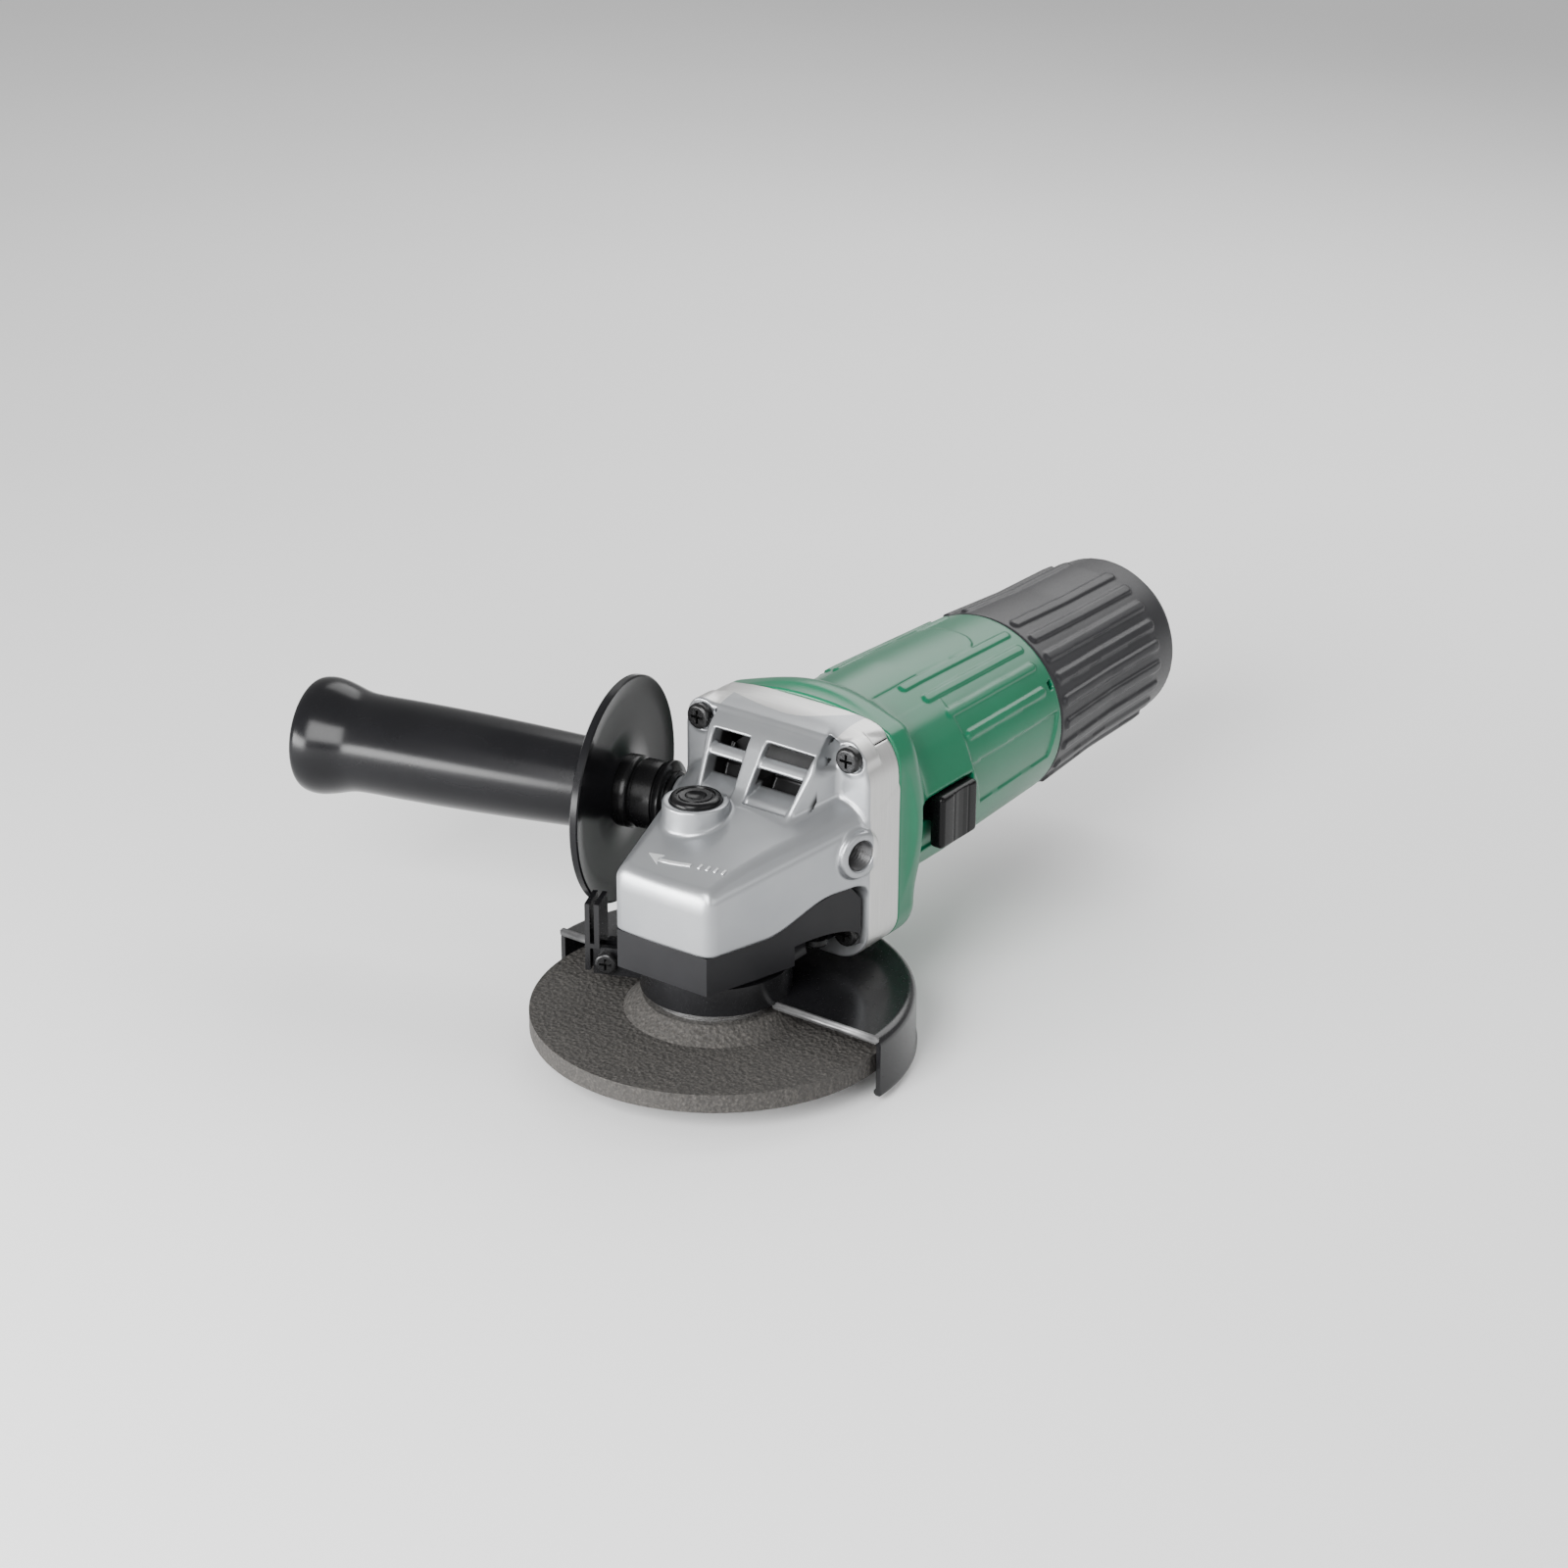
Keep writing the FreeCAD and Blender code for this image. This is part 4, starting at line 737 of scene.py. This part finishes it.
def case_outer(x, y, z):
    body = either(head_outline(x, y, z), vent_hood(x, y, z), 2.2)
    body = both(body, flange_outline(y, z), 1.0)
    return either(body, flange(x, y, z), 1.6)


def screw_corners():
    """Centres (y, z) of the four gear-case screws."""
    return [(side * SCREW_Y, MOTOR_Z + lift * SCREW_LIFT) for side in (-1, 1) for lift in (-1, 1)]


def vent_place(x, y, z):
    """Depth behind the hood's leaning face, rise up it, and distance from the centre bar."""
    back = x - HOOD_FOOT[0]
    up = z - HOOD_FOOT[2]
    depth = back * HOOD_LEAN[0] - up * HOOD_LEAN[1]
    rise = back * HOOD_LEAN[1] + up * HOOD_LEAN[0]
    return depth, rise, np.abs(y - BAR_MIDDLE)


def vent_columns(y, rise, beside_bar):
    """The two slot columns, between the centre bar and the side ridges."""
    return both(2.5 + 0.035 * rise - beside_bar, np.abs(y) - 16.0 - 0.135 * rise, 0.5)


def vent_slots(x, y, z):
    """Two columns of two air slots, each with a sill that slopes up into the hood."""
    depth, rise, beside_bar = vent_place(x, y, z)
    columns = vent_columns(y, rise, beside_bar)
    slots = None
    for sill, lintel, inner in ((1.9, 12.7, 5.4), (13.9, 20.8, 2.8)):
        floor = sill + 1.15 * np.clip(depth, -2, inner)
        slot = np.maximum(np.maximum(floor - rise, rise - lintel), columns)
        slots = slot if slots is None else np.minimum(slots, slot)
    return np.maximum(slots * 0.8, slab(depth, -6, 12))


def vent_relief(x, y, z):
    """The shallow sunk panel round the slots, bounded by the side ridges and the centre bar."""
    depth, rise, beside_bar = vent_place(x, y, z)
    panel = vent_columns(y, rise, beside_bar)
    return both(np.maximum(panel, slab(rise, 0.8, 21.0)), slab(depth, -6, 0.9), 0.5)


def machined_share(x, y, z):
    """One on the smooth outer band of the flange and its brim, nought on the cast skin."""
    outline = flange_outline(y, z)
    crease = 35.4 + np.where(y > 0, 0.007, 0.03) * y * y
    top = smoothstep(z, 91.5, 93.5) * smoothstep(12 + 0 * y, 0, 1)
    back = np.where(np.abs(y) < 22, crease, 31.4)
    start = 31.4 + (back - 31.4) * top
    near_skin = smoothstep(outline, -2.6 - 2.0 * top, -1.4 - 2.0 * top)
    return near_skin * smoothstep(x, start - 0.3, start + 0.3)


def case_inside(x, y, z):
    """Gear cavity, pinion tunnel, bearing seat, air duct and fan bay."""
    away = np.hypot(y, z - MOTOR_Z)
    spindle_away = np.hypot(x, y)
    gear = np.maximum(spindle_away - 21.4, slab(z, 15, 59.5))
    tunnel = np.maximum(away - 8.8, slab(x, 8.5, 24.5))
    seat = np.maximum(away - 12.0, slab(x, 24.0, 31.5))
    gap = np.maximum(away - 7.0, slab(x, 31, 34))
    bay = np.maximum(away - 30.0, slab(x, 33, CASE_REAR_X + 3))
    duct = np.maximum(block(x, y, z, (17.5, -17.0, 78.0), (CASE_REAR_X + 3, 17.0, 90.0)),
                      2.8 - vent_place(x, y, z)[0])
    duct = np.maximum(duct, (z - HOOD_TOP[2]) * 0.944 - (x - HOOD_TOP[0]) * 0.33 + 2.6)
    bush = np.maximum(spindle_away - 6.5, slab(z, 58, 66.7))
    hollow = gear
    for part in (tunnel, seat, gap, bay, duct, bush):
        hollow = np.minimum(hollow, part)
    return hollow


def arch_below(x, z):
    """The space under the head's side walls, level at the nose and arched beside the holder."""
    ramp = HEAD_FLOOR_Z + 7.5 * smoothstep(x, -7, 19)
    under = z - ramp
    rear = x - 31.0
    return both(under, rear, 5.0)


def socket_axis(side):
    return np.array([-math.sin(SOCKET_LEAN), side * math.cos(SOCKET_LEAN), 0])


def case_skin(x, y, z):
    """The whole gear case."""
    skin = case_outer(x, y, z)
    boss = cone(x, y, z, (BUTTON[0], BUTTON[1], 60), (BUTTON[0], BUTTON[1], 76.4), 10.9, 10.2)
    skin = either(skin, both(boss, z - 76.4, 0.9), 1.4)
    for side in (-1, 1):
        way = socket_axis(side)
        face = SOCKET_FACE * np.array([1, side, 1]) + way * SOCKET_BOSS_RISE
        skin = either(skin, rod(x, y, z, face - way * 13, face, 7.7, 1.6), 1.2)
        skin = without(skin, rod(x, y, z, face - way * 11, face + way * 2, 4.95), 0.6)
    for across, up in screw_corners():
        side = 1 if across > 0 else -1
        if up > MOTOR_Z:
            if side < 0:
                scoop = cone(x, y, z, (41.5, -16.0, 97.2), (14.0, -33.0, 84.0), 0.3, 10.5)
            else:
                scoop = cone(x, y, z, (36.0, 22.0, 92.0), (14.0, 30.0, 86.5), 1.0, 7.0)
            skin = without(skin, both(scoop, flange_outline(y, z) + 1.9, 1.0), 1.4)
            seat = rod(x, y, z, (FLANGE_FRONT_X, across, up), (38, across, up), 5.2, 0.8)
            skin = either(skin, both(seat, flange_outline(y, z) - 1.2, 0.8), 1.6)
        else:
            pocket = cone(x, y, z, (FLANGE_FRONT_X, across, up), (8, across * 0.93, up), 5.0, 8.4)
            skin = without(skin, pocket, 1.6)
        skin = without(skin, rod(x, y, z, (20, across, up), (FLANGE_FRONT_X, across, up), 4.7), 0.6)
        skin = without(skin, rod(x, y, z, (20, across, up), (60, across, up), 2.15))
    skin = without(skin, vent_relief(x, y, z), 0.4)
    skin = without(skin, vent_slots(x, y, z), 0.5)
    skin = without(skin, arch_below(x, z), 0.8)
    well = np.hypot(x - BUTTON[0], y - BUTTON[1])
    skin = without(skin, np.maximum(well - 8.05, 69.0 - z), 0.5)
    skin = without(skin, np.maximum(well - 2.6, 50 - z))
    return without(skin, case_inside(x, y, z), 0.3)


def painted_shade_share(x, y, z):
    """One on the inner surfaces of the case, where shade is painted in near black, nought on its outside
    and the vent sills.
    """
    depth, rise, _ = vent_place(x, y, z)
    near_hollow = smoothstep(-case_inside(x, y, z), -0.9, -0.3)
    deep = np.where(np.abs(y) < 18.5, smoothstep(-case_outer(x, y, z), 2.0, 3.2), near_hollow)
    in_vent = (np.abs(y) < 21) & (rise > 0) & (rise < 22) & (depth < 12)
    return np.where(in_vent, smoothstep(depth, 4.4, 6.4), deep)


def share_layer(piece, name, values):
    layer = piece.data.attributes.new(name, "FLOAT", "POINT")
    layer.data.foreach_set("value", values.astype(np.float32))


def socket_threads():
    """A thread in each handle socket: a thin sleeve with a saw-tooth bore."""
    for side, name in ((-1, "socket_thread_left"), (1, "socket_thread_right")):
        way = socket_axis(side)
        face = SOCKET_FACE * np.array([1, side, 1]) + way * SOCKET_BOSS_RISE
        profile = [(4.95, -10.8), (4.95, -0.9)]
        turns = 8
        pitch = 9.9 / turns
        for index in range(turns):
            top = -0.9 - pitch * index
            profile += [(4.85, top), (4.3, top - pitch / 2)]
        profile.append((4.85, -10.8))
        piece = lathe(name, profile, face, way, 48)
        dress(piece, "housing", None, thread_metal())


def gear_case():
    piece = grown("gear_case_skin", case_skin, CASE_LOW, CASE_HIGH, 0.5)
    dress(piece, "housing", "gear_case", cast_aluminium())
    places = np.zeros(len(piece.data.vertices) * 3)
    piece.data.vertices.foreach_get("co", places)
    x, y, z = (places.reshape(-1, 3) / MM).T
    share_layer(piece, "machined", machined_share(x, y, z))
    # painted shade for the case's hollows, vent slots and socket bores goes into the 'inside' layer
    share_layer(piece, "inside", painted_shade_share(x, y, z))
    socket_threads()


# ------------------------------------------------------------ motor housing

def around(y, z):
    """Angle from straight up, in degrees; positive towards the switch side (-Y)."""
    return np.degrees(np.arctan2(-y, z - MOTOR_Z))


def barrel_radius(x):
    return BARREL_FRONT_R - (BARREL_FRONT_R - BARREL_REAR_R) * np.clip((x - 88) / (SEAM_X - 88), 0, 1)


def raised_bar(x, away, angle, base, place, start, end, half, height):
    """A raised rib with round ends lying along a round barrel."""
    sideways = base * np.radians(angle - place)
    run = np.maximum(np.abs(x - (start + end) / 2) - ((end - start) / 2 - half), 0)
    return both(np.hypot(run, sideways) - half, away - base - height, 0.7)


HOUSING_RIBS = [(22.0, 78.6, 141.4), (34.0, 82.7, 140.4), (47.0, 86.8, 139.8), (62.5, 91.3, 138.7)]


def housing_outer(x, y, z):
    away = np.hypot(y, z - MOTOR_Z)
    outline = rounded_square(y, z, 59.5, 35.1, 38.0, 12.3, 5.0)
    crown = (z - 98.0 + 0.0055 * y * y) * 0.97
    outline = both(outline - 0.8 * smoothstep(z, 88, 96), crown, 1.0)
    plate = both(outline, x - 58.0, 5.0)
    plate = both(plate, CASE_REAR_X - x, 0.4)
    barrel = both(away - barrel_radius(x), slab(x, CASE_REAR_X + 10.5, SEAM_X), 0.8)
    skin = either(plate, barrel, 10.0)
    side = np.maximum(-y - 34.7, slab(x, 50.0, 89.0))
    for tilt, reach in ((24, 34.0), (40, 33.8), (58, 33.2), (-30, 34.0), (-50, 33.6), (-70, 33.0)):
        lift = math.radians(tilt)
        side = both(side, -y * math.cos(lift) + (z - MOTOR_Z) * math.sin(lift) - reach, 0.6)
    return either(skin, np.maximum(side, y + 20), 1.0)


def name_panel(x, away, angle):
    """A shallow blank panel behind the switch."""
    part = (angle - 78.0) / 26.0
    edge = np.maximum(slab(angle, 78.0, 104.0) * 0.58, slab(x, 90 + 6 * part, 143 - 5 * part))
    return both(edge, barrel_radius(x) - 0.7 - away, 0.3)


def housing_skin(x, y, z):
    away = np.hypot(y, z - MOTOR_Z)
    angle = around(y, z)
    skin = housing_outer(x, y, z)
    base = barrel_radius(x)
    for place, start, end in HOUSING_RIBS:
        skin = either(skin, raised_bar(x, away, np.abs(angle), base, place, start, end, 1.45, 0.75), 0.5)
    sideways = base * np.radians(angle)
    pad_x = np.maximum(np.abs(x - 85) - (41.5 - 7), 0)
    pad_y = np.maximum(np.abs(sideways) - (11.0 - 7), 0)
    pad = both(np.hypot(pad_x, pad_y) - 7, away - base - 0.55, 0.5)
    skin = either(skin, pad, 0.3)
    skin = without(skin, name_panel(x, away, angle), 0.5)
    recess = block(x, y, z, (57.6, -60, 46.9), (88.2, -30.2, 66.2), 0.8)
    skin = without(skin, recess, 0.9)
    for low_z in (52.1, 60.4):
        skin = either(skin, block(x, y, z, (56.5, -31.9, low_z), (61.4, -29.9, low_z + 3.6), 0.4), 0.3)
    latch = block(x, y, z, (141.6, -30.6, 74.2), (144.2, -25, 77.0), 0.3)
    skin = without(skin, latch, 0.2)
    for bore in (
            np.maximum(away - 31.0, slab(x, CASE_REAR_X - 3, 57.0)),
            np.maximum(away - 28.7, slab(x, 56.0, 132.0)),
            np.maximum(away - 11.0, slab(x, 134.0, 141.2)),
            np.maximum(away - 6.0, slab(x, 130.0, 135.0)),
            np.maximum(away - 24.0, slab(x, 141.0, SEAM_X + 3)),
            block(x, y, z, (59.2, -34, 55.8), (81.2, -26, 62.2)),
            block(x, y, z, (130.0, -28.6, 54.5), (SEAM_X + 3, -24.6, 63.5))):
        skin = without(skin, bore)
    for across, up in screw_corners():
        skin = without(skin, rod(x, y, z, (CASE_REAR_X - 3, across, up), (55.7, across, up), 2.1))
    return skin


def motor_housing():
    reach = np.array([0, 1.0, 1.5])
    piece = grown("motor_housing_skin", housing_skin, low("motor_housing") - reach,
                  high("motor_housing") + reach, 0.62)
    dress(piece, "housing", "motor_housing", green_plastic())


# ------------------------------------------------------------ tail cover

TAIL_PROFILE = [(0, 31.9), (34, 29.9), (62, 29.5), (76, 28.5), (82, 24.4), (84, 19.9)]


def tail_radius(x):
    return np.interp(x - SEAM_X, [p[0] for p in TAIL_PROFILE], [p[1] for p in TAIL_PROFILE])


def tail_skin(x, y, z):
    away = np.hypot(y, z - MOTOR_Z)
    angle = np.abs(around(y, z))
    base = tail_radius(x)
    skin = both((away - base + 0.35) * 0.9, slab(x, SEAM_X, TAIL_X), 1.0)
    for index in range(9):
        place = 17.6 + 14.4 * index
        rib = raised_bar(x, away, angle, base - 0.35, place, SEAM_X + 2.4, SEAM_X + 66, 1.7, 0.95)
        skin = either(skin, rib, 0.7)
    inner = np.interp(x - SEAM_X, [-1, 0, 34, 62, 76, 81.4], [29.3, 29.3, 27.3, 26.7, 24.9, 19.9])
    hollow = np.maximum((away - inner) * 0.9, slab(x, SEAM_X - 5, TAIL_X - 2.6))
    skin = without(skin, hollow)
    spigot = np.maximum(np.abs(away - 22.6) - 1.3, slab(x, SEAM_X - 3.6, SEAM_X + 3))
    web = np.maximum(slab(away, 21.3, 30.9), slab(x, SEAM_X, SEAM_X + 3))
    passage = block(x, y, z, (SEAM_X - 5, -28.6, 54.5), (SEAM_X + 4, -21, 63.5))
    skin = np.minimum(skin, without(np.minimum(spigot, web), passage))
    boss = rod(x, y, z, (TAIL_X - 12, 0, INLET_Z), (TAIL_X - 0.5, 0, INLET_Z), INLET_R + 2.2)
    skin = np.minimum(skin, boss)
    return without(skin, rod(x, y, z, (TAIL_X - 14, 0, INLET_Z), (TAIL_X + 4, 0, INLET_Z), INLET_R), 0.8)


def tail_cover():
    piece = grown("tail_cover_skin", tail_skin, low("tail_cover"), high("tail_cover"), 0.75)
    dress(piece, "housing", "tail_cover", tail_plastic())


# ------------------------------------------------------------ slide knob and lock button

def knob_skin(x, y, z):
    """The thumb knob: a rounded block, fluted across its face, on a stem."""
    start = low("slide_knob")
    end = high("slide_knob")
    body = block(x, y, z, (start[0], start[1], start[2]), (end[0], end[1] - 4.6, end[2]), 1.7)
    dish = 0.5 * np.exp(-((x - (start[0] + end[0]) / 2 - 1) / 5.0) ** 2)
    body = np.maximum(body, start[1] + dish - y)
    for index in range(4):
        at = start[0] + 7.0 + 2.6 * index
        groove = np.hypot(x - at, y - start[1] + 0.1) - 0.5
        body = without(body, groove, 0.25)
    stem = block(x, y, z, (68.0, end[1] - 6, 56.2), (80.0, end[1], 61.8), 0.3)
    return np.minimum(body, stem)


def slide_knob():
    piece = grown("slide_knob_skin", knob_skin, low("slide_knob"), high("slide_knob"), 0.32)
    dress(piece, "slide_switch", "slide_knob", black_plastic())


def lock_button():
    top = high("lock_button")[2]
    bottom = low("lock_button")[2]
    radius = (high("lock_button")[0] - low("lock_button")[0]) / 2
    profile = [(0, bottom), (radius, bottom), (radius, top - 1.0), (radius - 0.3, top - 0.35),
               (radius - 1.0, top), (radius - 1.9, top), (radius - 2.2, top - 0.45),
               (radius - 2.7, top - 0.45), (radius - 3.0, top - 0.05), (3.4, top - 0.1),
               (3.1, top - 0.5), (2.0, top - 0.9), (0, top - 1.1)]
    piece = lathe("lock_button_skin", profile, (BUTTON[0], BUTTON[1], 0), (0, 0, 1))
    dress(piece, "lock_button", "lock_button", black_plastic())


def lock_spring():
    """A wire coil between the well and the button."""
    wire = 0.35
    turns = 4
    around_wire = 8
    steps = turns * 40
    start = low("lock_spring")[2] + wire + 0.05
    rise = high("lock_spring")[2] - wire - 0.1 - start
    coil = 4.2
    points = []
    for index in range(steps + 1):
        turn = 2 * math.pi * turns * index / steps
        height = start + rise * index / steps
        for corner in range(around_wire):
            tilt = 2 * math.pi * corner / around_wire
            reach = coil + wire * math.cos(tilt)
            points.append((BUTTON[0] + reach * math.cos(turn), BUTTON[1] + reach * math.sin(turn),
                           height + wire * math.sin(tilt)))
    faces = [tuple(range(around_wire)), tuple(range(steps * around_wire, (steps + 1) * around_wire))]
    for index in range(steps):
        for corner in range(around_wire):
            after = (corner + 1) % around_wire
            row = index * around_wire
            faces.append((row + corner, row + after, row + around_wire + after,
                          row + around_wire + corner))
    piece = make_mesh("lock_spring_coil", points, faces, False)
    recalculate(piece)
    dress(piece, "housing", "lock_spring", carried_materials()["spring_steel"])
    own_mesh(piece)


# ------------------------------------------------------------ side handle

def side_handle():
    """Stepped collar, dished guard disc and grip, turned about the socket axis."""
    way = socket_axis(1)
    face = SOCKET_FACE + way * SOCKET_BOSS_RISE
    bore = 4.3
    collar = [(bore, 0), (8.3, 0), (8.6, 0.3), (8.6, 1.4), (11.2, 1.6), (11.8, 2.2), (11.8, 3.6),
              (11.4, 4.1), (10.5, 4.3), (10.4, 4.9), (11.0, 5.2), (11.1, 11.6), (10.7, 12.0),
              (10.2, 12.2), (10.2, 12.9), (11.2, 13.3), (11.6, 13.8), (11.6, 17.5), (11.4, 17.85),
              (bore, 17.85)]
    piece = lathe("handle_collar_skin", collar, face, way)
    dress(piece, "housing", "handle_collar", black_plastic())
    rim = 36.4
    disc = [(0, 17.9), (12.0, 17.9), (12.6, 18.3), (20.0, 18.55), (30.0, 18.45), (34.0, 18.1),
            (35.3, 17.6), (35.9, 17.5), (rim, 17.9), (rim, 19.9), (rim - 0.4, 20.3), (34.6, 20.5),
            (30.0, 20.9), (15.0, 21.05), (0, 21.05)]
    piece = lathe("handle_disc_skin", disc, face, way, 160)
    dress(piece, "housing", "handle_disc", handle_plastic())
    near = 21.1
    far = near + 108.0
    grip = [(0, near), (13.9, near), (14.2, near + 0.4), (14.2, near + 5), (14.6, near + 14),
            (15.3, near + 32), (15.9, near + 52), (16.1, near + 72), (16.0, near + 86),
            (16.4, near + 91), (18.2, near + 97), (19.1, near + 101), (19.2, far - 4),
            (18.6, far - 1.2), (17.0, far - 0.1), (12.0, far), (11.6, far - 0.6), (0, far - 0.9)]
    piece = lathe("handle_grip_skin", rounded_profile(grip), face, way, 96)
    dress(piece, "housing", "handle_grip", handle_plastic())


# ------------------------------------------------------------ wheel guard

def wheel_guard():
    """Half-round pressed guard with a soft corner, a curled lip and hemmed front edges."""
    top = high("wheel_guard")[2]
    foot = low("wheel_guard")[2]
    outer = high("wheel_guard")[1]
    sheet = 1.6
    bend = 3.2
    outside = [(21.3, top)]
    inside = [(21.3, top - sheet)]
    for turn in range(7):
        a = math.radians(15 * turn)
        outside.append((outer - bend + bend * math.sin(a), top - bend + bend * math.cos(a)))
        inside.append((outer - bend + (bend - sheet) * math.sin(a),
                       top - bend + (bend - sheet) * math.cos(a)))
    curl = [(outer, foot + 2.4), (outer + 0.5, foot + 1.6), (outer + 0.5, foot + 0.6),
            (outer - 0.2, foot), (outer - 1.6, foot), (outer - 2.3, foot + 0.6),
            (outer - 2.3, foot + 1.6), (outer - sheet, foot + 2.4)]
    profile = outside + curl + inside[::-1]
    piece = lathe("wheel_guard_skin", profile, (0, 0, 0), (0, 0, 1), 120, -90, 90)
    dress(piece, "guard", "wheel_guard", guard_paint())
    for side in (-1, 1):
        ends = sorted((side * 22.0, side * (outer - 0.6)))
        hem = box_piece("guard_hem_left" if side < 0 else "guard_hem_right",
                        (-1.7, ends[0], top - 2.1), (0.5, ends[1], top + 0.35), 0.6)
        # the hems carry a painted highlight along the guard's front edges
        dress(hem, "guard", None, painted_edge_highlight())


# ------------------------------------------------------------ rotation arrow on the deck

def deck_height(x, y):
    return DECK_FRONT_Z - deck_crown(x, y) + DECK_SLOPE * (x - FRONT_X - 1.5)


def raised_mark(name, outline, lift=0.4):
    """A thin raised shape lying on the deck."""
    outline = np.array(outline, float)
    heights = deck_height(outline[:, 0], outline[:, 1])
    upper = np.column_stack([outline, heights + lift])
    under = np.column_stack([outline, heights - 0.5])
    count = len(outline)
    faces = [list(range(count)), list(range(2 * count - 1, count - 1, -1))]
    faces += [[i, count + i, count + (i + 1) % count, (i + 1) % count] for i in range(count)]
    piece = make_mesh(name, np.vstack([upper, under]), faces, False)
    recalculate(piece)
    dress(piece, "housing", None, mark_metal())


def rotation_arrow():
    """A curved arrow with a tail of short ticks; a plain generic mark."""
    middle_line = [(-19.3, 6.6), (-19.0, 3.0), (-18.4, -0.6), (-17.6, -4.0)]
    upper = [(x + 0.5, y) for x, y in middle_line]
    under = [(x - 0.5, y) for x, y in middle_line[::-1]]
    raised_mark("arrow_shaft", upper + under)
    raised_mark("arrow_head", [(-18.0, 11.4), (-17.1, 6.2), (-18.8, 7.2), (-21.2, 6.0)])
    for index in range(4):
        y = -7.0 - 2.7 * index
        x = -16.9 + 0.32 * index
        raised_mark("arrow_tick_%d" % index, [(x - 0.9, y - 0.35), (x + 0.9, y - 0.35),
                                              (x + 0.9, y + 0.35), (x - 0.9, y + 0.35)])


# ------------------------------------------------------------ stage, light and camera

def stage_and_light():
    """A pale floor, a soft key light, a card in front of the nose and two weaker lights."""
    ground = low("spindle")[2] - 0.6
    floor_material, nodes, links, shader, coords = node_tree("pale_floor")
    cloud = noise(nodes, links, coords, 3.0, 2.0)
    links.new(ramp(nodes, links, cloud, [(0.3, (0.86, 0.86, 0.86)), (0.7, (0.9, 0.9, 0.9))]),
              shader.inputs["Base Color"])
    shader.inputs["Roughness"].default_value = 0.6
    size = 4.0
    mesh = bpy.data.meshes.new("floor")
    mesh.from_pydata([(-size, -size, ground * MM), (size, -size, ground * MM),
                      (size, size, ground * MM), (-size, size, ground * MM)], [], [(0, 1, 2, 3)])
    floor = link_piece("floor", mesh)
    mesh.materials.append(floor_material)
    world = bpy.data.worlds.new("soft_studio")
    world.use_nodes = True
    world.node_tree.nodes["Background"].inputs["Color"].default_value = (1, 1, 1, 1)
    world.node_tree.nodes["Background"].inputs["Strength"].default_value = 0.55
    bpy.context.scene.world = world
    focus = Vector((0.05, 0, 0.06))
    for name, place, size_x, size_y, power in (
            ("key_light", (-0.95, -0.15, 0.62), 0.6, 0.7, 22.0),
            ("front_card", (-0.75, 0.42, 0.12), 0.6, 0.22, 13.0),
            ("back_softbox", (0.8, 0.1, 0.72), 1.1, 0.6, 8.0),
            ("fill_light", (-0.2, -1.1, 0.45), 0.9, 0.4, 3.0)):
        lamp = bpy.data.lights.new(name, "AREA")
        lamp.shape = "RECTANGLE"
        lamp.size = size_x
        lamp.size_y = size_y
        lamp.energy = power
        item = bpy.data.objects.new(name, lamp)
        item.location = place
        item.rotation_euler = (focus - Vector(place)).to_track_quat("-Z", "Y").to_euler()
        bpy.context.scene.collection.objects.link(item)


def camera():
    """The camera stands in front, to the left and above, as a product picture is taken."""
    azimuth = math.radians(54.11)
    elevation = math.radians(25.04)
    roll = math.radians(0.41)
    distance = 1.1475
    aim = Vector((0.040, 0.0, 0.0554))
    back = Vector((-math.sin(azimuth) * math.cos(elevation), -math.cos(azimuth) * math.cos(elevation),
                   math.sin(elevation)))
    across = Vector((math.cos(azimuth), -math.sin(azimuth), 0))
    up = back.cross(across)
    turned_across = across * math.cos(roll) + up * math.sin(roll)
    turned_up = up * math.cos(roll) - across * math.sin(roll)
    lens = bpy.data.cameras.new("camera")
    lens.sensor_width = 36.0
    lens.lens = 3775.0 / 1600 * 36.0
    lens.shift_x = -0.0063
    lens.shift_y = 0.0278
    lens.dof.use_dof = False
    item = bpy.data.objects.new("camera", lens)
    turn = Matrix((turned_across, turned_up, back)).transposed().to_4x4()
    item.matrix_world = Matrix.Translation(aim + back * distance) @ turn
    bpy.context.scene.collection.objects.link(item)
    bpy.context.scene.camera = item


def main():
    gear_case()
    motor_housing()
    tail_cover()
    slide_knob()
    lock_button()
    lock_spring()
    side_handle()
    wheel_guard()
    rotation_arrow()
    carried_nodes()
    stage_and_light()
    camera()


main()
